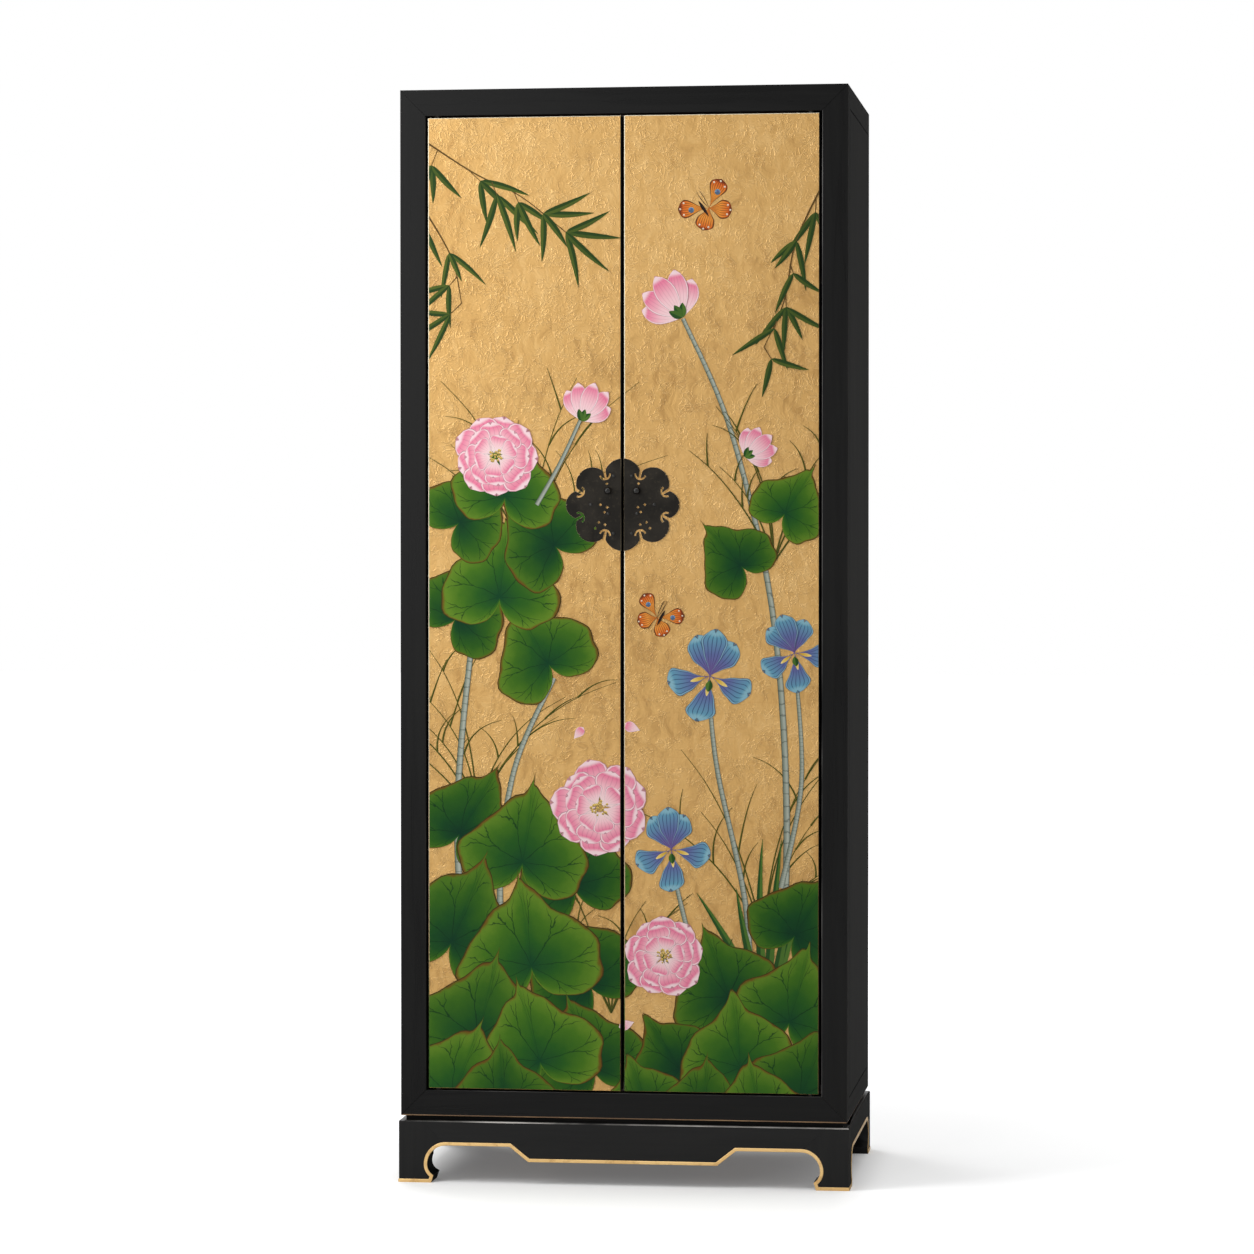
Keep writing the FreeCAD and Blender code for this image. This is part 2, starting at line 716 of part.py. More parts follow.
KNOB_OUTLINE = (
    (MIDDLE, "-door_thickness - plate_thickness - nut_height - shank_end"),
    ("shank_radius", "-door_thickness - plate_thickness - nut_height - shank_end"),
    ("shank_radius", MIDDLE),
    ("0.62 * knob_radius", MIDDLE),
    ("0.62 * knob_radius", "0.30 * knob_projection"),
    ("knob_radius", "0.30 * knob_projection"),
    ("knob_radius", "0.72 * knob_projection"),
    ("0.62 * knob_radius", "knob_projection"),
    (MIDDLE, "knob_projection"),
)
plate_front_y = "(door_front_y - plate_thickness)"
left_knob = turned("left_knob_body", KNOB_OUTLINE)
left_knob.Placement.Rotation = Rotation(Vector(1, 0, 0), 90)
place(left_knob, knob_x, plate_front_y, knob_z)
nut_blank = doc.addObject("Part::Prism", "nut_blank")
nut_blank.Polygon = 6
bind(nut_blank, Circumradius="nut_radius", Height="nut_height")
nut_blank.Placement.Rotation = Rotation(Vector(1, 0, 0), -90)
place(nut_blank, knob_x, "door_back_y", knob_z)
nut_bore = borebar(
    "nut_bore", knob_x, "door_back_y", "door_back_y + nut_height", knob_z, "shank_radius + shank_clearance"
)
plate_bore = borebar(
    "plate_bore", knob_x, plate_front_y, "door_front_y", knob_z, "shank_radius + shank_clearance"
)

# Forged eight-sided studs that nail the plate to the door, as offsets across and up from the plate's middle
STUDS = (
    ("-knob_reach", "-0.19 * plate_half_height"),
    ("-0.56 * plate_half_width", MIDDLE),
    ("-0.16 * plate_half_width", "0.62 * plate_half_height"),
    ("-0.16 * plate_half_width", "-0.62 * plate_half_height"),
)
studs, nails = [], []
for number, (across, up) in enumerate(STUDS, start=1):
    stud_z = f"(plate_height + {up})"
    head = doc.addObject("Part::Prism", f"stud_head_{number}")
    head.Polygon = 8
    bind(head, Circumradius="stud_radius", Height="stud_height")
    head.Placement.Rotation = Rotation(Vector(1, 0, 0), -90)
    place(head, across, f"{plate_front_y} - stud_height", stud_z)
    nail = box(
        f"stud_nail_{number}",
        (f"{across} - nail_width / 2", f"{across} + nail_width / 2"),
        (plate_front_y, "door_front_y + nail_length"),
        (f"{stud_z} - nail_width / 2", f"{stud_z} + nail_width / 2"),
    )
    studs.append(fuse(f"stud_{number}", head, nail))
    nails.append(nail)

left_door = cut("left_door", door_blank, *battens, low_pin, high_pin, left_strike, shank_hole, *nails)
pair("left_door_panel", "right_door_panel", left_door)
pair("left_lock_plate", "right_lock_plate", cut("left_plate", plate_blank, plate_bore, *nails))
pair("left_knob", "right_knob", left_knob)
pair("left_knob_nut", "right_knob_nut", cut("left_nut", nut_blank, nut_bore))
pair("left_plate_studs", "right_plate_studs", group("left_studs", *studs))

# Stand: hoof-footed legs whose front and side profiles cross, with aprons mitred between them.
# A raised bead follows the feet and the lower edges of the aprons on the front and the sides.

ankle_height = size("arch_height - arch_radius")
arch_end = size("ankle_width + arch_radius")
mitre_top = arch_end - size("stand_height - arch_height")
stand_half_width = size("stand_x")
stand_half_depth = size("stand_y")


def flat(across, up):
    """A point of a profile, measured along the stand's face from its outer edge and up from the floor."""
    return Vector(across, 0, up)


def arc_point(centre, radius, degrees):
    turn = math.radians(degrees)
    return centre + Vector(math.cos(turn), 0, math.sin(turn)) * radius


def foot_edges(start):
    """The lower edge of a leg, from the outer edge of its foot round the toe and ankle to the apron."""
    heel = flat(size("foot_width"), 0)
    toe_centre = flat(size("ankle_width + toe_radius"), ankle_height)
    arch_centre = flat(arch_end, ankle_height)
    sweep = size("toe_sweep")
    toe_arc = [arc_point(toe_centre, size("toe_radius"), a) for a in (180 + sweep, 180 + sweep / 2, 180)]
    arch_arc = [arc_point(arch_centre, size("arch_radius"), a) for a in (180, 135, 90)]
    return [
        Part.LineSegment(flat(start, 0), heel).toShape(),
        Part.LineSegment(heel, toe_arc[0]).toShape(),
        Part.Arc(*toe_arc).toShape(),
        Part.Arc(*arch_arc).toShape(),
    ]


def closed_face(edges, corners):
    """A face bounded by edges and then by straight runs through the corners back to the start."""
    start = edges[0].Vertexes[0].Point
    end = edges[-1].Vertexes[-1].Point
    runs = [Part.LineSegment(a, b).toShape() for a, b in zip((end, *corners), (*corners, start))]
    return Part.Face(Part.Wire([*edges, *runs]))


def apron_edges(points):
    return [Part.LineSegment(a, b).toShape() for a, b in zip(points, points[1:])]


def bead_face(edges):
    """The band along a profile's lower edge."""
    return Part.Wire(edges).makeOffset2D(size("bead_width"), 2, True, True)


top = size("stand_height")
arch = size("arch_height")
leg_profile = closed_face(foot_edges(0), (flat(mitre_top, top), flat(0, top)))


def turned_to_side(shape):
    """A front profile laid on the left side, so that it runs back from the front edge."""
    moved = shape.copy()
    moved.rotate(Vector(0, 0, 0), Vector(0, 0, 1), 90)
    return moved


def proud(face, direction):
    return face.extrude(direction * size("bead_proud"))


def half_path(points):
    return [*foot_edges(-size("bead_proud")), *apron_edges(points)]


step_low = arch - size("apron_drop")
front_half = (
    flat(arch_end, arch),
    flat(size("step_start"), arch),
    flat(size("step_start + step_run"), step_low),
    flat(stand_half_width, step_low),
)
side_half = (flat(arch_end, arch), flat(stand_half_depth, arch))
front_bead = bead_face(half_path(front_half))
side_bead = bead_face(half_path(side_half))


def apron_profile(half, width):
    """The whole face of an apron, between the mitres at its two ends."""
    mirrored = [flat(2 * width - p.x, p.z) for p in reversed(half[:-1])]
    points = [*half[:-1], *mirrored]
    return closed_face(apron_edges(points), (flat(2 * width - mitre_top, top), flat(mitre_top, top)))


def both_halves(face, width):
    other = face.mirror(Vector(width, 0, 0), Vector(1, 0, 0))
    return face.fuse(other)


def within(face, region):
    """The part of a bead that lies on one piece, with the run past the outer corner kept."""
    out = -size("bead_proud")
    overhang = filled([flat(out, 0), flat(0, 0), flat(0, top), flat(out, top)])
    return face.common(region.fuse(overhang))


def leg_shape(front_beaded):
    """The front left leg about its own outer corner, with its bead on the side and maybe the front."""
    reach = arch_end
    front_prism = leg_profile.extrude(Vector(0, reach, 0))
    side_prism = turned_to_side(leg_profile).extrude(Vector(reach, 0, 0))
    leg = front_prism.common(side_prism)
    core, wing = size("leg_core"), size("apron_thickness")
    room = Vector(reach, reach, top)
    for x, y in ((core, wing), (wing, core)):
        leg = leg.cut(Part.makeBox(room.x, room.y, room.z, Vector(x, y, ankle_height)))
    leg = leg.fuse(proud(turned_to_side(side_bead.common(leg_profile)), Vector(-1, 0, 0)))
    if front_beaded:
        leg = leg.fuse(proud(within(front_bead, leg_profile), Vector(0, -1, 0)))
    return leg.removeSplitter()


def stand_piece(name, shape, x, y):
    """A piece of the stand whose shape is drawn about a corner of the stand."""
    thing = doc.addObject("Part::Feature", name)
    thing.Shape = shape
    return place(thing, x, y, MIDDLE)


front_leg = stand_piece("front_leg", leg_shape(True), "-stand_x", "-stand_y")
pair("front_left_leg", "front_right_leg", front_leg)
plain_leg = stand_piece("plain_leg", leg_shape(False), "-stand_x", "-stand_y")
back_leg = mirror("back_leg", plain_leg, THROUGH)
pair("back_left_leg", "back_right_leg", back_leg)

depth = Vector(0, size("apron_thickness"), 0)
front_face = apron_profile(front_half, stand_half_width)
front_apron = front_face.extrude(depth)
front_band = both_halves(front_bead, stand_half_width).common(front_face)
front_apron = front_apron.fuse(proud(front_band, Vector(0, -1, 0))).removeSplitter()
node("front_apron", stand_piece("front_apron_board", front_apron, "-stand_x", "-stand_y"))

plain_half = (flat(arch_end, arch), flat(stand_half_width, arch))
back_board = stand_piece(
    "back_apron_board", apron_profile(plain_half, stand_half_width).extrude(depth), "-stand_x", "-stand_y"
)
node("back_apron", mirror("back_apron_mirror", back_board, THROUGH))

side_face = apron_profile(side_half, stand_half_depth)
side_band = both_halves(side_bead, stand_half_depth).common(side_face)
side_apron = turned_to_side(side_face).extrude(Vector(size("apron_thickness"), 0, 0))
side_apron = side_apron.fuse(proud(turned_to_side(side_band), Vector(-1, 0, 0))).removeSplitter()
left_apron = stand_piece("left_apron_board", side_apron, "-stand_x", "-stand_y")
pair("left_apron", "right_apron", cut("left_apron_cut", left_apron, left_tenons))

# Glue blocks behind the aprons, beside each leg

BLOCK_Z = ("arch_height + bead_width", "stand_height")
block = box(
    "front_left_block",
    ("-stand_x + ankle_width + arch_radius", "-stand_x + ankle_width + arch_radius + block_length"),
    ("-stand_y + apron_thickness", "-stand_y + 2 * apron_thickness"),
    BLOCK_Z,
)
back_block = mirror("back_left_block", block, THROUGH)
left_blocks = group("left_blocks", block, back_block)
node("stand_glue_blocks", group("all_blocks", left_blocks, mirror("right_blocks", left_blocks, ACROSS)))

# Bearers across the stand, from front to back apron

left_bearer = box(
    "left_bearer",
    ("-bearer_spacing / 2 - bearer_width / 2", "-bearer_spacing / 2 + bearer_width / 2"),
    ("-stand_y + apron_thickness", "stand_y - apron_thickness"),
    ("stand_height - apron_thickness", "stand_height"),
)
node("stand_bearers", group("both_bearers", left_bearer, mirror("right_bearer", left_bearer, ACROSS)))

# Waist: a set-back strip all round, between the stand and the frame

WAIST_Z = ("stand_height", "frame_bottom")
front_waist = box(
    "front_waist",
    ("-side_x + waist_setback", "side_x - waist_setback"),
    ("front_y + waist_setback", "front_y + waist_setback + waist_width"),
    WAIST_Z,
)
left_waist_blank = box(
    "left_waist_blank",
    ("-side_x + waist_setback", "-side_x + waist_setback + waist_width"),
    ("front_y + waist_setback + waist_width", "back_y - waist_setback - waist_width"),
    WAIST_Z,
)
left_waist = cut("left_waist", left_waist_blank, left_tenons)
node(
    "waist_strips",
    group(
        "all_waists",
        front_waist,
        mirror("back_waist", front_waist, THROUGH),
        left_waist,
        mirror("right_waist", left_waist, ACROSS),
    ),
)
node(
    "loose_tenons",
    group(
        "all_tenons",
        back_left_tenon,
        front_left_tenon,
        mirror("back_right_tenon", back_left_tenon, ACROSS),
        mirror("front_right_tenon", front_left_tenon, ACROSS),
    ),
)
pair("left_side_panel", "right_side_panel", left_panel)

# Recompute, check every object and write one file for each sub-part

doc.recompute()
for thing in doc.Objects:
    if "Invalid" in thing.State or "Error" in thing.State:
        raise RuntimeError(f"{thing.Name} did not recompute: {thing.State}")
os.makedirs("parts", exist_ok=True)
for label, thing in nodes.items():
    if thing.Shape.isNull() or not thing.Shape.isValid():
        raise RuntimeError(f"{label} has no valid shape")
    thing.Shape.exportStep(f"parts/{label}.step")
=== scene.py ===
import json
import math
import random

import bmesh
import bpy
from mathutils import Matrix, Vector

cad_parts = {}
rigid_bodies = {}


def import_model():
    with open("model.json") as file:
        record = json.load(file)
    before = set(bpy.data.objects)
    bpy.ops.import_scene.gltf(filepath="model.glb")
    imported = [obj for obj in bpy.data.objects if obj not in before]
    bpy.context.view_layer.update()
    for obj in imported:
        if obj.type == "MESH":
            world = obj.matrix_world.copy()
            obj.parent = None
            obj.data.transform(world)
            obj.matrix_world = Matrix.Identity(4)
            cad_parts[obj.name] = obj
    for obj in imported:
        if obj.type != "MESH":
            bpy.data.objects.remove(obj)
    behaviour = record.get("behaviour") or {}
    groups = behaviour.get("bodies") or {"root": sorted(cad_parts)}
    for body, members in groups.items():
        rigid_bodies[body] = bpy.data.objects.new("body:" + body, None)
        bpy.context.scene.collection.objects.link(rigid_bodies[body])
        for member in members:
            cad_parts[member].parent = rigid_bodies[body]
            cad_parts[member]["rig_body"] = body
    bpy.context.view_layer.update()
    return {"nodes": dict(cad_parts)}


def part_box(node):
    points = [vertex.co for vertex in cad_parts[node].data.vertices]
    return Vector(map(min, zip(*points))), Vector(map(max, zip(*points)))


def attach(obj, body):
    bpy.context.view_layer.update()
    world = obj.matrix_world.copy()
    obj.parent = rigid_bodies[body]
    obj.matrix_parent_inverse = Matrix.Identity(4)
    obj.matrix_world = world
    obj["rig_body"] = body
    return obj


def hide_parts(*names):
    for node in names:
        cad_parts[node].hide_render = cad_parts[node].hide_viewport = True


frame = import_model()

# Stand: a low hoof-footed base of four legs with aprons mitred between them, in black-lacquered elm.
# A raised bead, carved from the same wood, follows the feet and the aprons' lower edges and is gilded.

LACQUER_DARK = (0.0080, 0.0079, 0.0076, 1.0)
LACQUER_LIT = (0.0185, 0.0182, 0.0174, 1.0)
# Front faces take a darker base under more gloss, so that they stay dark but where a lamp reflects: painted
# shade.
FRONT_SHADE_DARK = (0.0018, 0.0018, 0.0018, 1.0)
FRONT_SHADE_LIGHT = (0.0066, 0.0065, 0.0063, 1.0)
# The lacquer's rubbed arris colour is partly wear and partly a painted highlight along the edges.
LACQUER_WEAR_AND_HIGHLIGHT = (0.046, 0.042, 0.038, 1.0)
# Near-white on the stand's top arris: a painted highlight line.
STAND_EDGE_HIGHLIGHT = (0.72, 0.69, 0.65, 1.0)
GRAIN_RUN = {"x": (4.0, 70.0, 70.0), "y": (70.0, 4.0, 70.0), "z": (70.0, 70.0, 4.0)}
GILT_DEEP = (0.62, 0.37, 0.13, 1.0)
GILT_LIGHT = (0.88, 0.61, 0.27, 1.0)
SIDE_GILT_SHADED_DEEP = (0.42, 0.25, 0.085, 1.0)
SIDE_GILT_SHADED_LIGHT = (0.60, 0.40, 0.17, 1.0)
GILT_GROUND = (0.26, 0.12, 0.03, 1.0)
STAND_ARRIS = 0.0005
STAND_TOP_ARRIS = 0.0020
BEAD_DEPTH = 0.00104
BEAD_ROUND = 0.0010
BEAD_CLOSE = 0.0002
CLOSE = 0.0005
FLAT_FACE = 0.0003
MITRE_FACE = 0.0009
SEAM = 0.0003
SHARP_ANGLE = math.radians(30.0)
SHADE_ANGLE = math.radians(50.0)


def shader_group(name, taken, kind, default, *given):
    """An empty node group, the one named value that it takes, and the places of those that it puts out."""
    group = bpy.data.node_groups.new(name, "ShaderNodeTree")
    socket = group.interface.new_socket(taken, in_out="INPUT", socket_type=kind)
    socket.default_value = default
    for title in given:
        group.interface.new_socket(title, in_out="OUTPUT", socket_type="NodeSocketFloat")
    start = group.nodes.new("NodeGroupInput")
    end = group.nodes.new("NodeGroupOutput")
    return group, start.outputs[taken], end.inputs


def feed(tree, socket, source):
    """Links a socket to what another node puts out, or sets its value (None leaves it as it is)."""
    if isinstance(source, bpy.types.NodeSocket):
        tree.links.new(source, socket)
    elif source is not None:
        socket.default_value = source


def feed_all(tree, sockets, sources):
    """Feeds sockets by their names."""
    for title, source in sources.items():
        feed(tree, sockets[title], source)


def add(tree, kind, *sources, **settings):
    """A shader node with its settings, whose first sockets are fed in order."""
    node = tree.nodes.new(kind)
    for key, value in settings.items():
        setattr(node, key, value)
    for socket, source in zip(node.inputs, sources):
        feed(tree, socket, source)
    return node


def sums(tree, operation, *sources):
    """The result of one step of arithmetic."""
    return add(tree, "ShaderNodeMath", *sources, operation=operation).outputs[0]


def times(tree, first, second):
    """Two values multiplied."""
    return sums(tree, "MULTIPLY", first, second)


def rest_of(tree, share):
    """What a share leaves of 1."""
    return sums(tree, "SUBTRACT", 1.0, share)


def spread(tree, value, low, high, first, last):
    """A value carried evenly from one range to another."""
    return add(tree, "ShaderNodeMapRange", value, low, high, first, last).outputs[0]


def fade(tree, value, low, high, first=0.0, last=1.0):
    """A smooth step from the first value at low to the last at high."""
    node = add(tree, "ShaderNodeMapRange", value, low, high, first, last, interpolation_type="SMOOTHSTEP")
    return node.outputs[0]


def stretched(tree, place, sizes):
    """A place scaled along each axis."""
    return add(tree, "ShaderNodeVectorMath", place, sizes, operation="MULTIPLY").outputs[0]


def blend_colour(tree, share, first, second):
    """Two colours mixed by a share."""
    node = add(tree, "ShaderNodeMix", share, data_type="RGBA")
    feed(tree, node.inputs[6], first)
    feed(tree, node.inputs[7], second)
    return node.outputs[2]


def cloud(tree, place, scale, detail=2.0, roughness=0.5, distortion=0.0):
    """Noise from 0 to 1 about a half, at a number of waves per metre."""
    node = tree.nodes.new("ShaderNodeTexNoise")
    feed_all(tree, node.inputs, {
        "Vector": place, "Scale": scale, "Detail": detail, "Roughness": roughness, "Distortion": distortion,
    })
    return node.outputs["Fac"]


def on_piece(tree):
    """The place on the piece, in metres of the cabinet's own frame."""
    return tree.nodes.new("ShaderNodeTexCoord").outputs["Object"]


def painted_value(tree, name):
    """A number that the mesh carries over its faces or corners."""
    return add(tree, "ShaderNodeAttribute", attribute_name=name).outputs["Fac"]


def new_finish(name):
    """A material with one shader, its node tree and the shader's sockets."""
    material = bpy.data.materials.new(name)
    material.use_nodes = True
    tree = material.node_tree
    return material, tree, tree.nodes["Principled BSDF"].inputs


def relief(tree, height, strength, distance):
    """A normal that follows a height."""
    node = tree.nodes.new("ShaderNodeBump")
    feed_all(tree, node.inputs, {"Strength": strength, "Distance": distance, "Height": height})
    return node.outputs["Normal"]


def make_rubbed_arris():
    """Where handling has rubbed the arrises, partly a painted highlight: broken by noise, and only on the
    rounded edges.
    """
    group, reach, out = shader_group("wear_and_highlight_arris", "Reach", "NodeSocketFloat", 0.5, "Mask")
    broken = fade(group, cloud(group, on_piece(group), 7.0, 4.0), 0.32, 0.80)
    rounded = times(group, painted_value(group, "arris"), broken)
    feed_all(group, out, {"Mask": times(group, rounded, reach)})
    return group


def make_lacquer_flow():
    """Thin lacquer over timber: slow unevenness, the wood's grain showing through, and fine dust nibs."""
    group, stretch, out = shader_group("lacquer_flow", "Stretch", "NodeSocketVector", GRAIN_RUN["z"],
                                       "Tone", "Height")
    place = on_piece(group)
    slow = cloud(group, place, 2.2, 1.0)
    grain = cloud(group, stretched(group, place, stretch), 1.0, 5.0, 0.6, 0.6)
    nibs = fade(group, cloud(group, place, 900.0, 1.0), 0.70, 0.80)
    tone = sums(group, "MULTIPLY_ADD", grain, 0.55, times(group, slow, 0.45))
    height = sums(group, "MULTIPLY_ADD", nibs, 0.25, times(group, grain, 0.8))
    feed_all(group, out, {"Tone": fade(group, tone, 0.30, 0.70), "Height": height})
    return group


wear_and_highlight_arris = make_rubbed_arris()
lacquer_flow = make_lacquer_flow()


def placed_group(tree, group, **values):
    """A shared effect in a material, with its own values."""
    node = add(tree, "ShaderNodeGroup", node_tree=group)
    feed_all(tree, node.inputs, values)
    return node.outputs


def make_black_lacquer(name, run, dark, light, rough, shine, edge=LACQUER_WEAR_AND_HIGHLIGHT):
    """Black lacquer on timber whose grain runs along one axis, with an edge colour at its arrises: rubbed
    wear and a painted highlight.
    """
    material, tree, shader = new_finish(f"{name}_{run}")
    flow = placed_group(tree, lacquer_flow, Stretch=GRAIN_RUN[run])
    # This arris mask lays rubbed wear and a painted highlight along the edges.
    worn = placed_group(tree, wear_and_highlight_arris, Reach=0.9)["Mask"]
    deep = blend_colour(tree, flow["Tone"], dark, light)
    feed_all(tree, shader, {
        "Base Color": blend_colour(tree, worn, deep, edge),
        "Roughness": spread(tree, flow["Tone"], 0.0, 1.0, rough, rough + 0.08),
        "Normal": relief(tree, flow["Height"], 0.07, 0.0004),
        "Specular IOR Level": shine,
    })
    return material


def lacquers(runs, name, *values):
    """One lacquer for each way that the grain runs."""
    return {run: make_black_lacquer(name, run, *values) for run in runs}


def make_gilding(name, deep, light, metal, shine):
    """Gold or brass, rubbed through in places to a brown ground."""
    material, tree, shader = new_finish(name)
    place = on_piece(tree)
    rubbed = fade(tree, cloud(tree, place, 55.0, 4.0, 0.65), 0.50, 0.74)
    gold = blend_colour(tree, cloud(tree, place, 22.0, 3.0), deep, light)
    feed_all(tree, shader, {
        "Base Color": blend_colour(tree, times(tree, rubbed, 0.40), gold, GILT_GROUND),
        "Roughness": spread(tree, rubbed, 0.0, 1.0, 0.36, 0.60),
        "Normal": relief(tree, cloud(tree, place, 380.0, 3.0), 0.25, 0.0004),
        "Metallic": metal,
        "Specular IOR Level": shine,
    })
    return material


# Copies of one lacquer by facing: right-facing faces take one that hardly reflects so that side reads dark,
# and front faces a darker, glossier one; both are painted shade.
shaded_satin = lacquers("xyz", "shaded_satin_lacquer", LACQUER_DARK, LACQUER_LIT, 0.72, 0.008)
hand_rubbed = lacquers("xyz", "rubbed_lacquer", LACQUER_DARK, LACQUER_LIT, 0.48, 0.085)
stand_front = lacquers("xz", "stand_lacquer", FRONT_SHADE_DARK, FRONT_SHADE_LIGHT, 0.34, 0.17)
# The stand's top edge takes the near-white arris colour: a painted highlight.
stand_top = lacquers("xyz", "stand_edge_highlight", LACQUER_DARK, LACQUER_LIT, 0.34, 0.17, STAND_EDGE_HIGHLIGHT)
gilding = make_gilding("gilded_bead", GILT_DEEP, GILT_LIGHT, 0.55, 0.5)
# The bead on the sides is gilded darker and duller than at the front: painted shade.
shaded_side_gilding = make_gilding("side_bead_shaded", SIDE_GILT_SHADED_DEEP, SIDE_GILT_SHADED_LIGHT, 0.12, 0.03)


def mitred(edge):
    """Whether an edge bounds a joint face cut at 45 degrees."""
    return any(sorted(abs(part) for part in face.normal)[1] > 0.69 and face.calc_area() > MITRE_FACE
               for face in edge.link_faces)


def ease(work, size, segments, worn, wanted):
    """Rounds the sharp edges that are wanted, and marks how much the new faces take the arris colour of wear
    and painted highlight.
    """
    arris = work.faces.layers.float["arris"]
    done = work.faces.layers.int["done"]
    edges = []
    for edge in work.edges:
        sharp = edge.is_manifold and edge.calc_face_angle() > SHARP_ANGLE
        if sharp and wanted(edge) and not all(face[done] for face in edge.link_faces):
            edges.append(edge)
    eased = bmesh.ops.bevel(work, geom=edges, offset=size, offset_type="OFFSET", segments=segments,
                            profile=0.5, affect="EDGES", clamp_overlap=True)
    for face in eased["faces"]:
        face[arris] = worn
        face[done] = 1


def put(name, data):
    """A mesh, a camera or a lamp as an object in the scene."""
    placed = bpy.data.objects.new(name, data)
    bpy.context.scene.collection.objects.link(placed)
    return placed


def dress(node, arris, segments=2, worn=1.0, seam=0.0, first=()):
    """A piece with a solid's own shape and eased edges, which carries where its rounded arrises are.

    A seam is the size for mitred edges, and first holds the sizes and steps for edges that a test picks out.
    """
    mesh = bpy.data.meshes.new(f"{node}_dressed")
    work = bmesh.new()
    work.from_mesh(frame["nodes"][node].data)
    bmesh.ops.remove_doubles(work, verts=work.verts, dist=1e-6)
    bmesh.ops.dissolve_limit(work, angle_limit=math.radians(0.5), verts=work.verts, edges=work.edges)
    work.faces.layers.float.new("arris")
    work.faces.layers.int.new("done")
    for size, steps, wanted in first:
        ease(work, size, steps, worn, lambda edge: not mitred(edge) and wanted(edge))
    ease(work, arris, segments, worn, lambda edge: not (seam and mitred(edge)))
    if seam:
        ease(work, seam, 1, 0.0, mitred)
    marks = work.faces.layers.int
    marks.remove(marks["done"])
    work.to_mesh(mesh)
    work.free()
    mesh.set_sharp_from_angle(angle=SHADE_ANGLE)
    for face in mesh.polygons:
        face.use_smooth = face.area < FLAT_FACE
    piece = put(f"{node}_dressed", mesh)
    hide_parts(node)
    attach(piece, frame["nodes"][node]["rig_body"])
    return piece


def finish_with(piece, *materials):
    """Gives a piece its materials, the first of them on every face."""
    for material in materials:
        piece.data.materials.append(material)


def lay_finishes(piece, finishes, finish_of):
    """Gives each face of a piece one of its named finishes, as a test of the face says."""
    finish_with(piece, *finishes.values())
    names = list(finishes)
    for face in piece.data.polygons:
        face.material_index = names.index(finish_of(face))


stand_low, stand_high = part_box("front_apron")
apron_front_y = stand_low[1]
stand_side_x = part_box("right_apron")[1][0]

STAND_TOP = stand_high[2] - CLOSE
STAND_EDGE = 0.0015
STAND_PIECES = (
    "front_left_leg", "front_right_leg", "back_left_leg", "back_right_leg",
    "front_apron", "back_apron", "left_apron", "right_apron",
)


def on_stand_top(edge):
    """Whether an edge bounds the top of the stand."""
    return min(corner.co.z for corner in edge.verts) > STAND_TOP


def on_bead(edge):
    """Whether an edge bounds the raised face of the bead."""
    return all(corner.co.y < apron_front_y + BEAD_CLOSE or abs(corner.co.x) > stand_side_x - BEAD_CLOSE
               for corner in edge.verts)


def stand_finish(face):
    """The finish of a face of the stand, by where it is and which way it looks."""
    # The side bead's darker gilding is painted shade.
    if abs(face.center.x) > stand_side_x - BEAD_DEPTH:
        return "side_bead_shaded"
    if face.center.y < apron_front_y + BEAD_DEPTH:
        return "bead"
    if face.center.z > STAND_TOP - STAND_EDGE and face.normal.x < 0.3:
        return "top_edge"
    # Front faces take the darker, glossier copy and right-facing faces the one that hardly reflects: painted
    # shade.
    if face.normal.y < -0.9:
        return "front"
    return "right" if face.normal.x > 0.3 else "plain"


for node in STAND_PIECES:
    piece = dress(node, STAND_ARRIS, seam=SEAM,
                  first=((STAND_TOP_ARRIS, 2, on_stand_top), (BEAD_ROUND, 3, on_bead)))
    run = "z" if node.endswith("leg") else "x" if node in ("front_apron", "back_apron") else "y"
    lay_finishes(piece, {
        "plain": hand_rubbed[run], "bead": gilding, "front": stand_front["x" if run == "y" else run],
        "right": shaded_satin[run], "top_edge": stand_top[run], "side_bead_shaded": shaded_side_gilding,
    }, stand_finish)

# Waist, glue blocks, bearers and loose tenons: plain timber under the cabinet. The waist strip that
# shows between the stand and the frame is lacquered; the rest is left bare and only seen from below.

BARE_WOOD_LIGHT = (0.42, 0.26, 0.13, 1.0)
BARE_WOOD_DARK = (0.22, 0.12, 0.055, 1.0)
BARE_WOOD_RUN = (40.0, 3.0, 40.0)
BLOCK_ARRIS = 0.0010
WAIST_ARRIS = 0.0006


def make_wood_grain():
    """Long-grained timber: growth rings drawn out along one axis, with pores."""
    group, stretch, out = shader_group("wood_grain", "Stretch", "NodeSocketVector", BARE_WOOD_RUN,
                                       "Grain", "Pores")
    place = stretched(group, on_piece(group), stretch)
    rings = cloud(group, place, 1.0, 4.0, 0.55, 0.8)
    pores = fade(group, cloud(group, place, 9.0, 2.0), 0.58, 0.74)
    feed_all(group, out, {"Grain": fade(group, rings, 0.30, 0.70), "Pores": pores})
    return group


wood_grain = make_wood_grain()


def make_timber(name, light, dark, stretch, rough, coat):
    """Timber under a thin coat of lacquer, or bare."""
    material, tree, shader = new_finish(name)
    grain = placed_group(tree, wood_grain, Stretch=stretch)
    base = blend_colour(tree, grain["Grain"], dark, light)
    raised = sums(tree, "SUBTRACT", grain["Grain"], grain["Pores"])
    feed_all(tree, shader, {
        "Base Color": blend_colour(tree, times(tree, grain["Pores"], 0.6), base, dark),
        "Roughness": spread(tree, grain["Grain"], 0.0, 1.0, rough + 0.08, rough),
        "Normal": relief(tree, raised, 0.12, 0.0004),
        "Coat Weight": coat,
        "Coat Roughness": 0.25,
    })
    return material


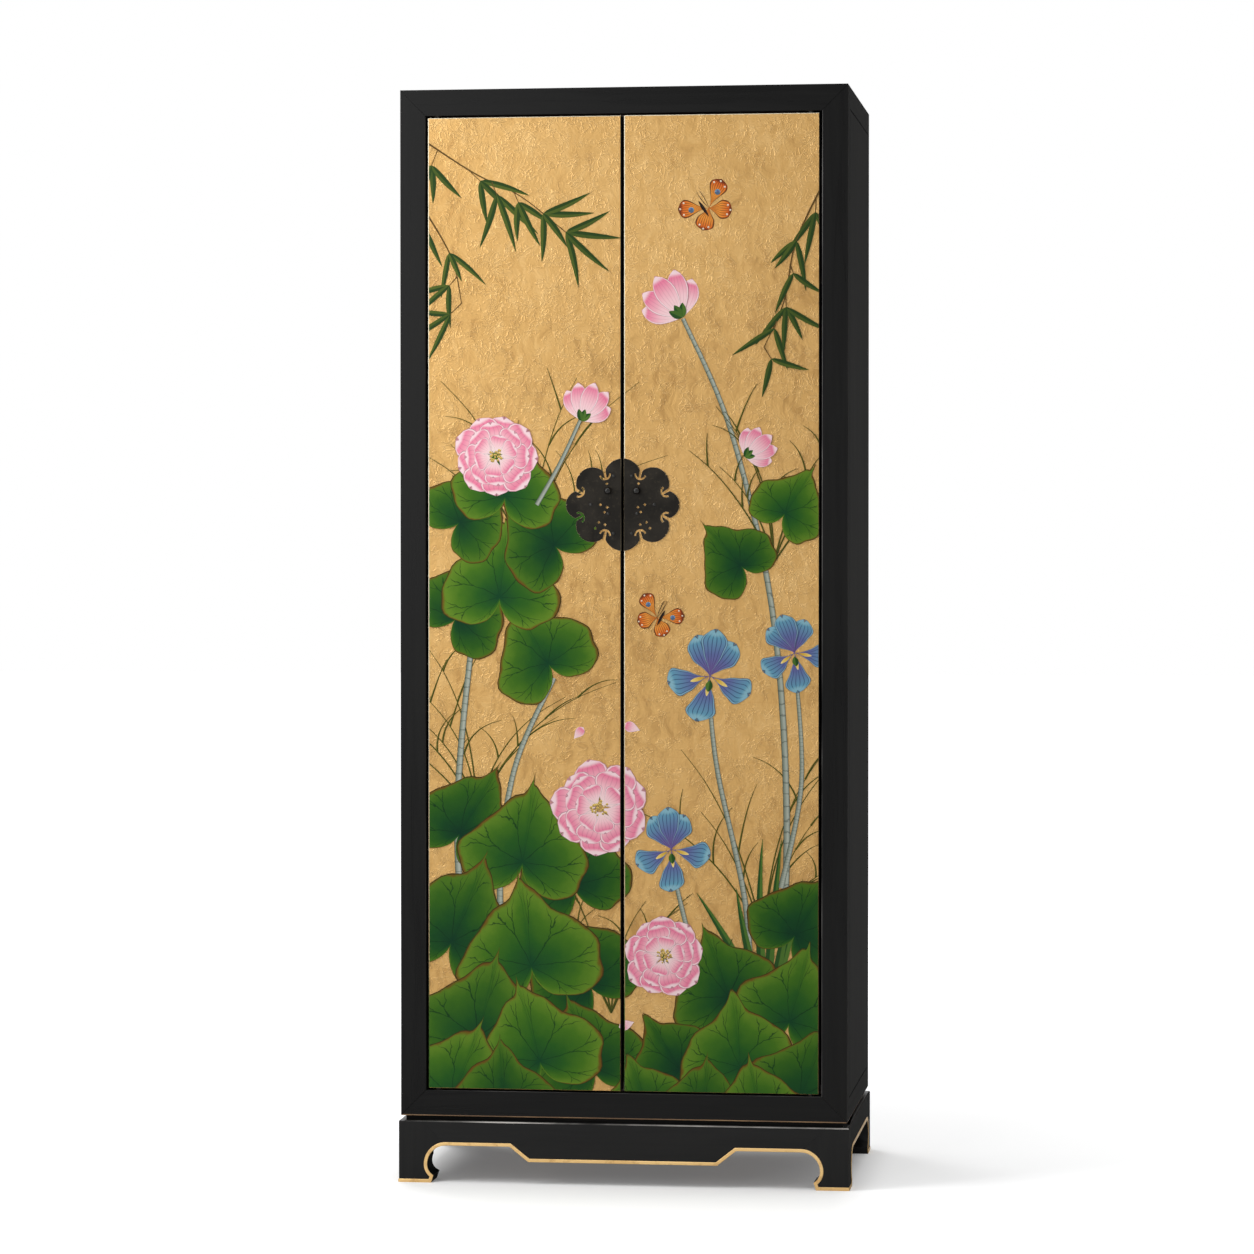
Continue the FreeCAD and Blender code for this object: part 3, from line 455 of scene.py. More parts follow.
bare_wood = make_timber("bare_wood", BARE_WOOD_LIGHT, BARE_WOOD_DARK, BARE_WOOD_RUN, 0.62, 0.0)
for node in ("stand_glue_blocks", "stand_bearers", "loose_tenons"):
    finish_with(dress(node, BLOCK_ARRIS), bare_wood)
finish_with(dress("waist_strips", WAIST_ARRIS), shaded_satin["x"])

# Frame: posts and rails of one square section, joined in three-way mitres so that no end grain shows.
# Every face is lacquered after assembly, so the mitres read only as fine lines.

FRAME_ARRIS = 0.0014
FRAME_SEAM = 0.0005
FRAME_FOOT_ARRIS = 0.0024
FRAME_FOOT_EDGE = 0.0022
FRAME_FOOT_FACE = 0.0021
INSIDE_LOW = (-0.372, -0.190, 0.160)
INSIDE_HIGH = (0.372, 0.235, 1.885)
INSIDE_REACH = 0.03
INNER_LIGHT = (0.105, 0.042, 0.020, 1.0)
INNER_DARK = (0.040, 0.015, 0.008, 1.0)
BARED_LIGHT = (0.42, 0.25, 0.12, 1.0)
BARED_DARK = (0.12, 0.065, 0.032, 1.0)
RAIL_EDGE_HIGHLIGHT = (0.17, 0.165, 0.16, 1.0)
SEAM_SHADE_DARK = (0.0012, 0.0012, 0.0012, 1.0)
SEAM_SHADE_LIGHT = (0.0030, 0.0030, 0.0029, 1.0)
SEAM_REACH = 0.002
PANELS = (
    "left_side_panel", "right_side_panel", "top_panel", "back_left_panel", "back_right_panel", "back_muntin",
)
FRAME_MEMBERS = [f"{end}_{side}_post" for end in ("front", "back") for side in ("left", "right")]
FRAME_MEMBERS += [f"{end}_{side}_rail" for end in ("top", "bottom")
                  for side in ("front", "back", "left", "right")]

shaded_polish = lacquers("xz", "shaded_polished_lacquer", FRONT_SHADE_DARK, FRONT_SHADE_LIGHT, 0.25, 0.10)
# The arrises round the doors, on the bottom rail's top and the right post's inner edge, take a grey painted
# highlight.
rail_edge = lacquers("xz", "rail_edge", FRONT_SHADE_DARK, FRONT_SHADE_LIGHT, 0.30, 0.12, RAIL_EDGE_HIGHLIGHT)
# The members' edges along the panels are near black, painting shade into the seams.
panel_seam = make_black_lacquer("panel_seam", "x", SEAM_SHADE_DARK, SEAM_SHADE_LIGHT, 0.72, 0.004, SEAM_SHADE_DARK)
rubbed_wood = make_timber("rubbed_wood", BARED_LIGHT, BARED_DARK, GRAIN_RUN["x"], 0.5, 0.1)
inner = {run: make_timber(f"inner_lacquer_{run}", INNER_LIGHT, INNER_DARK, GRAIN_RUN[run], 0.40, 0.35)
         for run in "xyz"}
frame_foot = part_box("bottom_front_rail")[0][2]
panel_boxes = [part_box(node) for node in PANELS]


def looks_inside(face):
    """Whether a face looks into the cabinet."""
    point = face.center + face.normal * INSIDE_REACH
    return all(low < part < high for low, part, high in zip(INSIDE_LOW, point, INSIDE_HIGH))


def by_panel(face):
    """Whether a face is a member's eased edge along a panel."""
    return any(all(low[i] - SEAM_REACH < face.center[i] < high[i] + SEAM_REACH for i in range(3))
               for low, high in panel_boxes)


def on_frame_foot(edge):
    """Whether an edge bounds the underside of the frame."""
    return max(corner.co.z for corner in edge.verts) < frame_foot + CLOSE


def frame_finish(node, face):
    """The finish of a face of a post or rail, by where it is and which way it looks."""
    sill = node == "bottom_front_rail" and face.normal.z > 0.2
    jamb = node == "front_right_post" and face.normal.x < -0.2
    # These door-side arrises carry the painted highlight line.
    if (sill or jamb) and face.normal.y < -0.2:
        return "round_doors"
    if looks_inside(face):
        return "inside"
    # Near-black seam finish: painted shade between member and panel.
    if by_panel(face):
        return "seam"
    at_foot = face.center.z < frame_foot + FRAME_FOOT_EDGE and face.normal.z > -0.99
    if at_foot and face.area < FRAME_FOOT_FACE:
        return "foot"
    # Front faces take the darker, glossier copy and right-facing faces the one that hardly reflects: painted
    # shade.
    if face.normal.y < -0.6:
        return "front"
    return "right" if face.normal.x > 0.6 else "plain"


for node in FRAME_MEMBERS:
    piece = dress(node, FRAME_ARRIS, seam=FRAME_SEAM, first=((FRAME_FOOT_ARRIS, 2, on_frame_foot),))
    run = "z" if node.endswith("post") else "x" if "front" in node or "back" in node else "y"
    front_run = "x" if run == "y" else run
    lay_finishes(piece, {
        "plain": hand_rubbed[run], "front": shaded_polish[front_run], "right": shaded_satin[run], "inside": inner[run],
        "foot": rubbed_wood, "round_doors": rail_edge[front_run], "seam": panel_seam,
    }, lambda face: frame_finish(node, face))

# Panels: boards set flush in rebates of the frame at the sides, top and back, lacquered black outside
# and thinly in brown inside. A fine seam all round each panel lets it move.

PANEL_ARRIS = 0.0006

for node in PANELS:
    run = "x" if node == "top_panel" else "z"
    # The right side panel takes the copy that hardly reflects, painting shade on that side.
    outside = shaded_satin[run] if node == "right_side_panel" else hand_rubbed[run]
    lay_finishes(dress(node, PANEL_ARRIS, worn=0.0), {"outside": outside, "inside": inner[run]},
                 lambda face: "inside" if looks_inside(face) else "outside")

# Inside: floor board, hat shelf on its cleats, and the strip that stops the doors, in thinly lacquered
# brown elm, with a brass hanging rail in turned sockets and a cased magnet for each door.

BOARD_ARRIS = 0.0012

for node in ("floor_board", "hat_shelf", "shelf_cleats", "door_stop"):
    finish_with(dress(node, BOARD_ARRIS), inner["x"])


def make_metal(name, light, dark, metallic, rough, streak):
    """Metal with drawn or turned scratches, dulled by tarnish in patches."""
    material, tree, shader = new_finish(name)
    place = on_piece(tree)
    scratches = cloud(tree, stretched(tree, place, streak), 1.0, 3.0)
    tarnish = fade(tree, cloud(tree, place, 26.0, 4.0, 0.6), 0.35, 0.75)
    scratched = sums(tree, "MULTIPLY_ADD", scratches, 0.14, rough)
    feed_all(tree, shader, {
        "Base Color": blend_colour(tree, tarnish, light, dark),
        "Roughness": sums(tree, "MULTIPLY_ADD", tarnish, 0.16, scratched),
        "Normal": relief(tree, scratches, 0.12, 0.0003),
        "Metallic": metallic,
    })
    return material


DRAWN_ALONG = (30.0, 900.0, 900.0)
DRAWN_UP = (900.0, 900.0, 40.0)
CAST = (300.0, 300.0, 300.0)
brass = make_metal("aged_brass", (0.66, 0.44, 0.17, 1.0), (0.34, 0.20, 0.07, 1.0), 1.0, 0.22, DRAWN_ALONG)
steel = make_metal("bright_steel", (0.56, 0.56, 0.55, 1.0), (0.36, 0.35, 0.34, 1.0), 1.0, 0.26, DRAWN_UP)
dark_iron = make_metal("oiled_iron", (0.030, 0.028, 0.026, 1.0), (0.018, 0.016, 0.014, 1.0), 0.3, 0.50,
                       DRAWN_UP)
dark_brass = make_metal("dull_brass", (0.085, 0.058, 0.026, 1.0), (0.040, 0.026, 0.012, 1.0), 0.4, 0.50, CAST)
catch_case = make_metal("catch_case", (0.060, 0.048, 0.038, 1.0), (0.032, 0.026, 0.022, 1.0), 0.0, 0.46, CAST)
for node, metal, arris in (
    ("hanging_rail", brass, 0.0010), ("rail_sockets", brass, 0.0008), ("pivot_bushes", dark_brass, 0.0004),
    ("left_pivot_pins", dark_iron, 0.0005), ("right_pivot_pins", dark_iron, 0.0005),
    ("left_strike_plate", steel, 0.0003), ("right_strike_plate", steel, 0.0003),
    ("magnetic_catches", catch_case, 0.0012),
):
    finish_with(dress(node, arris), metal)

# Doors: flush boards whose fronts are water-gilded with beaten leaf and varnished. The backs, the
# edges and the dovetailed battens that keep them flat are lacquered.

LEAF_DEEP = (0.385, 0.214, 0.064, 1.0)
LEAF_MIDDLE = (0.520, 0.306, 0.100, 1.0)
LEAF_LIGHT = (0.665, 0.432, 0.176, 1.0)
LEAF_CREASE_HIGHLIGHT = (0.82, 0.58, 0.28, 1.0)
LEAF_LAP = (0.42, 0.22, 0.06, 1.0)
LEAF_FLECK = (0.33, 0.15, 0.04, 1.0)
LEAF_EDGE_HIGHLIGHT = (0.97, 0.89, 0.68, 1.0)
EDGE_GREEN = (0.060, 0.130, 0.035, 1.0)
LEAF_SQUARE = 0.094
LEAF_CREASES = 125.0
DOOR_ARRIS = 0.0004
DOOR_CHAMFER = 0.0018
DOOR_CROWN = 0.0012
BATTEN_ARRIS = 0.0015


def pushed(tree, push, amounts, place):
    """A place moved by a vector times an amount along each axis."""
    return add(tree, "ShaderNodeVectorMath", push, amounts, place, operation="MULTIPLY_ADD").outputs[0]


def parts_of(tree, place):
    """The three parts of a place."""
    return add(tree, "ShaderNodeSeparateXYZ", place).outputs


def make_leaf_crinkle():
    """Beaten leaf: short soft creases, the faint squares that it was laid in, and worn flecks."""
    group, creases, out = shader_group("leaf_crinkle", "Creases", "NodeSocketFloat", LEAF_CREASES,
                                       "Height", "Tone", "Square", "Fleck", "Line", "Lap")
    place = on_piece(group)
    swirl = add(group, "ShaderNodeTexNoise", place, None, 24.0, 3.0).outputs["Color"]
    bent = pushed(group, swirl, (0.045, 0.045, 0.045), place)
    cells = add(group, "ShaderNodeTexVoronoi", bent, None, creases, feature="DISTANCE_TO_EDGE")
    shown = fade(group, cloud(group, place, 60.0, 2.0), 0.38, 0.58)
    line = times(group, rest_of(group, fade(group, cells.outputs["Distance"], 0.0, 0.13)), shown)
    soft = cloud(group, bent, 150.0, 4.0, 0.55)
    laid = stretched(group, place, (1.0 / LEAF_SQUARE, 0.0, 1.0 / LEAF_SQUARE))
    cell = add(group, "ShaderNodeVectorMath", laid, operation="FLOOR").outputs[0]
    jogged = pushed(group, swirl, (0.16, 0.0, 0.16), laid)
    within = parts_of(group, add(group, "ShaderNodeVectorMath", jogged, operation="FRACTION").outputs[0])
    side = sums(group, "MINIMUM", within["X"], within["Z"])
    slow = cloud(group, place, 3.0, 2.0)
    beaten = cloud(group, stretched(group, bent, (70.0, 1.0, 26.0)), 1.0, 4.0, 0.6)
    feed_all(group, out, {
        "Height": sums(group, "MULTIPLY_ADD", line, 0.7, times(group, soft, 0.9)),
        "Tone": sums(group, "MULTIPLY_ADD", slow, 0.45, times(group, beaten, 0.55)),
        "Square": add(group, "ShaderNodeTexWhiteNoise", cell, noise_dimensions="3D").outputs["Value"],
        "Fleck": fade(group, cloud(group, place, 300.0, 2.0), 0.70, 0.80),
        "Line": line,
        "Lap": rest_of(group, fade(group, side, 0.0, 0.035)),
    })
    return group


leaf_crinkle = make_leaf_crinkle()


def make_gold_leaf():
    """Gold leaf under varnish, with a painted cream highlight on the chamfers that grows with height, and
    painted over on those low down.
    """
    material, tree, shader = new_finish("gold_leaf")
    leaf = placed_group(tree, leaf_crinkle, Creases=LEAF_CREASES)
    gold = blend_colour(tree, fade(tree, leaf["Tone"], 0.36, 0.52), LEAF_DEEP, LEAF_MIDDLE)
    gold = blend_colour(tree, times(tree, fade(tree, leaf["Tone"], 0.50, 0.68), 0.45), gold, LEAF_LIGHT)
    # The lighter colour along the creases is a painted highlight on their ridges, besides their bump.
    for title, share, colour in (
        ("Square", 0.10, LEAF_LIGHT), ("Line", 0.14, LEAF_CREASE_HIGHLIGHT),
        ("Lap", 0.22, LEAF_LAP), ("Fleck", 0.35, LEAF_FLECK),
    ):
        gold = blend_colour(tree, times(tree, leaf[title], share), gold, colour)
    height = parts_of(tree, on_piece(tree))["Z"]
    chamfer = painted_value(tree, "arris")
    # The chamfers are tinted cream, more so higher up: a painted highlight.
    edge_highlight = times(tree, chamfer, spread(tree, height, 0.35, 1.05, 0.25, 0.95))
    gold = blend_colour(tree, edge_highlight, gold, LEAF_EDGE_HIGHLIGHT)
    painted = times(tree, chamfer, rest_of(tree, fade(tree, height, 0.28, 0.42)))
    feed_all(tree, shader, {
        "Base Color": blend_colour(tree, painted, gold, EDGE_GREEN),
        "Roughness": spread(tree, leaf["Tone"], 0.3, 0.7, 0.40, 0.34),
        "Normal": relief(tree, leaf["Height"], 0.80, 0.0010),
        "Metallic": sums(tree, "MULTIPLY_ADD", edge_highlight, -0.38, 0.38),
        "Specular IOR Level": 0.20,
    })
    return material


gold_leaf = make_gold_leaf()
door_low, door_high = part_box("left_door_panel")
door_face_y = door_low[1]


def on_door_crown(edge):
    """Whether an edge is the top edge of a door's front."""
    return all(corner.co.z > door_high[2] - CLOSE and corner.co.y < door_face_y + CLOSE
               for corner in edge.verts)


def gilded(face):
    """Whether a face is a door's front, or a chamfer of it that doesn't look right or down."""
    # Chamfers that look down stay black lacquer, which paints shade along the doors' lower edges.
    forward = face.normal.y < -0.2 and face.normal.z > -0.3 and face.normal.x < 0.3
    return forward and face.center.y < door_face_y + DOOR_CHAMFER


def door_finish(face):
    """The finish of a face of a door."""
    if gilded(face):
        return "gold"
    return "back" if face.normal.y > 0.5 else "edge"


for side in ("left", "right"):
    door = dress(f"{side}_door_panel", DOOR_ARRIS, first=((DOOR_CROWN, 1, on_door_crown),))
    lay_finishes(door, {"gold": gold_leaf, "edge": shaded_satin["z"], "back": inner["z"]}, door_finish)
    # Marks the gilded chamfers for the cream painted highlight and, low down, for the green paint over them.
    highlight_and_paint_edges = door.data.attributes["arris"].data
    for face in filter(gilded, door.data.polygons):
        highlight_and_paint_edges[face.index].value = 1.0 if face.normal.y > -0.95 else 0.0
    finish_with(dress(f"{side}_door_battens", BATTEN_ARRIS), inner["x"])

# Painting: broad heart-shaped leaves, peonies, irises and bamboo in gouache over the gold, with two
# butterflies. Each touch is a thin skin of paint, laid over those before it and cut where the doors part.

PAINT_FIRST = 0.00010
PAINT_SKIN = 0.00004
PAINT_SINK = 0.00002
PAINT_MARGIN = 0.0018
PAINT_FOOT = 0.0005
PAINT_ROUGH = 0.46
PAINT_STREAKS = 60.0
DAB_SIDES = 14
brush = random.Random(20)
touches = []


def overlaps(a, b):
    """Whether two areas (left, low, right, high) share any of the door."""
    return a[0] < b[2] and b[0] < a[2] and a[1] < b[3] and b[1] < a[3]


def touch(kind, rows, wraps=False, tone=None):
    """One touch of paint: rows of points (across, up, along, aside), in metres, on top of earlier touches."""
    across = [p[0] for row in rows for p in row]
    up = [p[1] for row in rows for p in row]
    area = (min(across), min(up), max(across), max(up))
    under = [t["level"] for t in touches if overlaps(t["area"], area)]
    touches.append({
        "kind": kind, "rows": rows, "wraps": wraps, "area": area, "level": 1 + max(under, default=0),
        "tone": brush.random() if tone is None else tone,
    })


def turned(point, angle):
    """A point turned about the origin."""
    c, s = math.cos(angle), math.sin(angle)
    return Vector((point[0] * c - point[1] * s, point[0] * s + point[1] * c))


def beside(centre, distance, angle):
    """The point at a distance from a centre, at an angle in degrees from upright."""
    return Vector(centre) + turned((0.0, distance), math.radians(angle))


def heart_leaf(centre, reach, lean, squash=1.0, tone=None, ripple=0.035, rings=9, spokes=84):
    """A broad leaf about the end of its stalk, with a drawn-out tip and a rippled rim."""
    lean = math.radians(lean)
    phase = brush.uniform(0, math.tau)
    outline = []
    for i in range(spokes):
        turn = math.tau * i / spokes
        x = 16 * math.sin(turn) ** 3
        y = 13 * math.cos(turn) - 5 * math.cos(2 * turn) - 2 * math.cos(3 * turn) - math.cos(4 * turn)
        wave = 1 + ripple * math.sin(9 * turn + phase) + ripple * 0.5 * math.sin(17 * turn + 2 * phase)
        spot = Vector((x * squash, y - 4.0)) * (wave * reach / 17.0)
        outline.append(turned(spot, lean))
    rows = []
    for ring in range(rings + 1):
        share = max(ring / rings, 0.02)
        rows.append([(centre[0] + p.x * share, centre[1] + p.y * share, share, 2.0 * i / spokes)
                     for i, p in enumerate(outline)])
    touch("leaf", rows, wraps=True, tone=tone)


def petal(kind, root, length, width, lean, tip=0.55, notch=0.0, bend=0.0, tone=None, ruffle=0.0,
          steps=9, halves=5):
    """A petal or blade from its root: widest a share of the way along, with a rounded or notched tip."""
    lean = math.radians(lean)
    phase = brush.uniform(0, math.tau) if ruffle else 0.0
    rows = []
    for i in range(steps + 1):
        along = i / steps
        bulge = math.sin(math.pi * along ** (math.log(0.5) / math.log(tip)))
        swell = bulge ** 0.72 if 0 < along < 1 else 0.03
        swell *= 1 + ruffle * math.sin(15 * along + phase)
        row = []
        for j in range(-halves, halves + 1):
            aside = j / halves
            dip = notch * length * (along ** 6) * (1 - abs(aside)) if notch else 0.0
            curve = bend * length * along * along
            spot = turned((aside * swell * width / 2 + curve, along * length - dip), lean)
            row.append((root[0] + spot.x, root[1] + spot.y, along, aside))
        rows.append(row)
    touch(kind, rows, tone=tone)


def line_through(points, steps):
    """Points along a smooth line through a few, with a number of steps between each two."""
    ends = [points[0], *points, points[-1]]
    spots = []
    for i in range(1, len(ends) - 2):
        a, b, c, d = (Vector(p) for p in ends[i - 1:i + 3])
        for k in range(steps):
            s = k / steps
            spots.append(0.5 * (2 * b + (c - a) * s + (2 * a - 5 * b + 4 * c - d) * s * s
                                + (3 * b - a - 3 * c + d) * s ** 3))
    spots.append(Vector(points[-1]))
    return spots


def stalk(kind, points, thick, thin, steps=10):
    """A stem or a drawn line, from its thick end to its thin end."""
    spots = line_through(points, steps)
    rows = []
    last = len(spots) - 1
    for i, spot in enumerate(spots):
        ahead = (spots[min(i + 1, last)] - spots[max(i - 1, 0)]).normalized()
        side = Vector((-ahead.y, ahead.x))
        along = i / last
        half = (thick + (thin - thick) * along) / 2
        rows.append([(*(spot + side * half * aside), along, aside) for aside in (-1.0, -0.5, 0.0, 0.5, 1.0)])
    touch(kind, rows)


def dab(kind, centre, radius):
    """A round dot of paint."""
    turns = [math.tau * i / DAB_SIDES for i in range(DAB_SIDES)]
    rows = []
    for share in (0.05, 0.5, 1.0):
        reach = radius * share
        rows.append([(centre[0] + reach * math.cos(turn), centre[1] + reach * math.sin(turn), share,
                      turn / math.pi) for turn in turns])
    touch(kind, rows, wraps=True)


def peony(centre, reach, lean=0.0, squash=0.86):
    """A full double flower: three rounds of broad notched petals about a crown of stamens."""
    for count, share, width, start in ((9, 1.0, 0.78, 0.0), (8, 0.76, 0.66, 20.0), (6, 0.50, 0.50, 8.0)):
        for i in range(count):
            angle = start + lean + 360.0 * i / count + brush.uniform(-6, 6)
            away = turned((0.0, reach * 0.10), math.radians(angle))
            root = (centre[0] + away.x, centre[1] + away.y * squash)
            petal("pink", root, reach * share * brush.uniform(0.88, 1.04), reach * width, angle, tip=0.70,
                  notch=brush.uniform(0.03, 0.10), bend=brush.uniform(-0.06, 0.06), steps=10)
    for i in range(26):
        turn = brush.uniform(0, math.tau)
        out = reach * 0.20 * math.sqrt(brush.random())
        spot = (centre[0] + out * math.cos(turn), centre[1] + out * math.sin(turn) * squash)
        dab("pollen", spot, reach * brush.uniform(0.022, 0.036))


def bud(centre, length, lean):
    """A half-open flower: five petals fanned from one calyx."""
    for side, share in ((-48, 0.80), (46, 0.84), (-24, 0.98), (25, 0.95), (0, 1.0)):
        petal("pink", centre, length * share, length * 0.44, lean + side, tip=0.60, steps=10)
    for side in (-34, 0, 32):
        petal("leaf_blade", centre, length * 0.30, length * 0.15, lean + side, tip=0.45)


def iris(centre, reach, lean=0.0):
    """A flag iris: three upright standards behind, three falls that hang, and a yellow tongue on each."""
    for side, share in ((-30, 0.92), (32, 0.95), (2, 1.05)):
        petal("blue", centre, reach * share, reach * 0.58, lean + side, tip=0.68, notch=0.09, ruffle=0.06,
              bend=brush.uniform(-0.1, 0.1), steps=20)
    for side, share in ((116, 0.96), (-112, 0.98), (180, 1.05)):
        petal("blue", centre, reach * share, reach * 0.64, lean + side, tip=0.74, notch=0.07, ruffle=0.07,
              bend=0.12 if side > 0 else -0.12, steps=20)
        petal("pollen", beside(centre, reach * 0.10, lean + side), reach * 0.36, reach * 0.09, lean + side)
    petal("leaf_blade", (centre[0], centre[1] - reach * 0.10), reach * 0.26, reach * 0.16, lean + 180,
          tip=0.5)


def bamboo(points, joints, reach):
    """A thin twig with side shoots, and a fan of narrow leaves that hangs from each."""
    stalk("twig", points, 0.0032, 0.0012)
    spots = line_through(points, 8)
    for i in range(joints):
        spot = spots[int((0.14 + 0.86 * i / max(joints - 1, 1)) * (len(spots) - 1))]
        fall = brush.uniform(130, 230)
        end = beside(spot, reach * brush.uniform(0.12, 0.32), fall)
        stalk("twig", [spot, spot.lerp(end, 0.5), end], 0.0016, 0.0011, steps=3)
        for side in (-38, 30, -6, 58)[:brush.choice((2, 3, 3, 4))]:
            petal("bamboo", end, reach * brush.uniform(0.6, 1.0), reach * 0.105,
                  fall + side + brush.uniform(-8, 8), tip=0.36, bend=brush.uniform(-0.12, 0.12), steps=12,
                  halves=3)


def arching(root, length, angle, droop):
    """Points along a blade that leans further over the further it reaches."""
    shares = (0.0, 0.2, 0.4, 0.6, 0.8, 1.0)
    upright = [(droop * length * s ** 2.2, length * (s - 0.18 * s * s)) for s in shares]
    return [Vector(root) + turned(spot, math.radians(angle)) for spot in upright]


def sedge(root, count, reach, lean, fan):
    """A tuft of fine arching blades, most of which throw off shorter ones."""
    for i in range(count):
        angle = lean + fan * (i / max(count - 1, 1) - 0.5) + brush.uniform(-6, 6)
        length = reach * brush.uniform(0.55, 1.0)
        droop = (-1 if angle > 0 else 1) * brush.uniform(0.12, 0.42)
        points = arching(root, length, angle, droop)
        stalk("blade", points, 0.0032, 0.0006, steps=6)
        for start in (2, 3, 4):
            if brush.random() < 0.62:
                side = brush.choice((-1, 1))
                shoot = arching(points[start], length * brush.uniform(0.20, 0.36),
                                angle + 22 * side, -0.5 * side * brush.random())
                stalk("blade", shoot, 0.0034, 0.0005, steps=5)


def swords(root, count, reach, lean, fan):
    """Long flat leaves that stand up from one root."""
    for i in range(count):
        angle = lean + fan * (i / max(count - 1, 1) - 0.5) + brush.uniform(-3, 3)
        petal("leaf_blade", root, reach * brush.uniform(0.6, 1.0), 0.0150, angle, tip=0.30,
              bend=brush.uniform(-0.12, 0.12), steps=16, halves=3)


def butterfly(centre, reach, lean):
    """Two pairs of dark-veined wings with pale spots along their rims, a slim body and feelers."""
    for side in (-1, 1):
        petal("wing", centre, reach * 0.80, reach * 0.68, lean + side * 130, tip=0.66, tone=0.2, ruffle=0.05,
              steps=16)
        petal("wing", centre, reach * 1.08, reach * 0.64, lean + side * 58, tip=0.76, tone=0.8, steps=16)
        for turn, out in ((45, 0.90), (58, 1.00), (71, 0.90), (116, 0.66), (130, 0.74), (144, 0.66)):
            dab("pale", beside(centre, reach * out, lean + side * turn), reach * 0.035)
        dab("blue", beside(centre, reach * 0.62, lean + side * 62), reach * 0.10)
        petal("ink", centre, reach * 0.72, reach * 0.020, lean + side * 14, bend=0.18 * side)
    petal("ink", (centre[0], centre[1] - reach * 0.30), reach * 0.66, reach * 0.11, lean)


# Low down: a bank of leaves at the left, and a smaller one at the right
sedge((-0.255, 0.640), 8, 0.44, 4, 64)
sedge((0.245, 0.430), 8, 0.44, -4, 70)
sedge((-0.020, 0.300), 6, 0.40, 2, 54)
for stem in (
    ([(-0.200, 0.300), (-0.215, 0.520), (-0.190, 0.720), (-0.120, 0.880)], 0.012, 0.008),
    ([(-0.270, 0.300), (-0.290, 0.640), (-0.260, 0.980), (-0.225, 1.240)], 0.013, 0.008),
    ([(-0.150, 0.300), (-0.120, 0.480), (-0.060, 0.640)], 0.011, 0.008),
    ([(0.262, 0.250), (0.285, 0.600), (0.262, 0.980), (0.190, 1.300), (0.105, 1.500)], 0.013, 0.007),
    ([(0.225, 0.240), (0.215, 0.480), (0.165, 0.720), (0.150, 0.860)], 0.011, 0.007),
    ([(0.180, 0.240), (0.120, 0.420), (0.085, 0.560)], 0.010, 0.007),
    ([(0.275, 0.520), (0.310, 0.700), (0.300, 0.900)], 0.010, 0.006),
):
    stalk("stem", *stem)
swords((0.250, 0.300), 6, 0.36, 2, 46)
swords((0.150, 0.260), 4, 0.27, 10, 40)
for leaf in (
    ((-0.085, 0.520), 0.118, 196, 0.92, 0.05),
    ((-0.285, 0.610), 0.112, 150, 0.90, 0.10),
    ((-0.175, 0.560), 0.122, 172, 1.00, 0.70),
    ((-0.060, 0.350), 0.120, 214, 0.98, 0.00),
    ((-0.300, 0.420), 0.135, 158, 0.95, 0.30),
    ((-0.160, 0.380), 0.132, 188, 1.04, 0.85),
    ((-0.052, 0.205), 0.112, 200, 0.95, 0.15),
    ((-0.255, 0.255), 0.128, 166, 1.00, 0.45),
    ((-0.145, 0.215), 0.122, 196, 1.02, 0.95),
    ((-0.300, 0.150), 0.120, 158, 1.00, 0.80),
    ((-0.210, 0.128), 0.105, 182, 1.05, 0.25),
    ((0.300, 0.440), 0.105, 150, 0.92, 0.10),
    ((0.185, 0.330), 0.108, 200, 0.98, 0.30),
    ((0.290, 0.290), 0.115, 166, 1.00, 0.75),
    ((0.100, 0.205), 0.095, 214, 0.95, 0.10),
    ((0.205, 0.210), 0.112, 186, 1.02, 0.90),
    ((0.310, 0.160), 0.110, 162, 1.00, 0.35),
    ((0.045, 0.130), 0.088, 200, 1.00, 0.55),
    ((0.140, 0.118), 0.094, 176, 1.05, 0.30),
    ((0.240, 0.112), 0.100, 190, 1.05, 0.75),
):
    heart_leaf(*leaf)
peony((-0.040, 0.655), 0.078, 10)
peony((0.072, 0.400), 0.066, 40)
for place, length, lean in (
    ((0.030, 0.790), 0.030, 70), ((-0.085, 0.775), 0.026, -40), ((0.020, 0.285), 0.028, 110),
):
    petal("pink", place, length, length * 0.62, lean, tip=0.62)

# Middle: a second clump of leaves at the left with a flower, and irises at the right
sedge((-0.165, 1.060), 8, 0.46, 2, 62)
for leaf in (
    ((-0.290, 0.985), 0.100, 140, 0.92, 0.10),
    ((-0.130, 0.905), 0.104, 212, 0.96, 0.65),
    ((-0.215, 1.020), 0.112, 176, 1.00, 0.90),
    ((-0.120, 1.110), 0.106, 226, 0.92, 0.20),
    ((-0.285, 1.150), 0.094, 132, 0.90, 0.30),
    ((-0.205, 1.195), 0.104, 170, 0.98, 0.75),
):
    heart_leaf(*leaf)
peony((-0.222, 1.265), 0.070, -14)
stalk("stem", [(-0.150, 1.180), (-0.110, 1.250), (-0.072, 1.330)], 0.008, 0.006)
bud((-0.072, 1.325), 0.070, -20)
iris((0.085, 0.585), 0.070, 6)
iris((0.152, 0.885), 0.078, -10)
iris((0.298, 0.925), 0.066, 12)
sedge((0.262, 1.080), 7, 0.38, -2, 58)
heart_leaf((0.205, 1.075), 0.082, 222, 0.90, 0.25)
heart_leaf((0.282, 1.165), 0.078, 148, 0.92, 0.80)

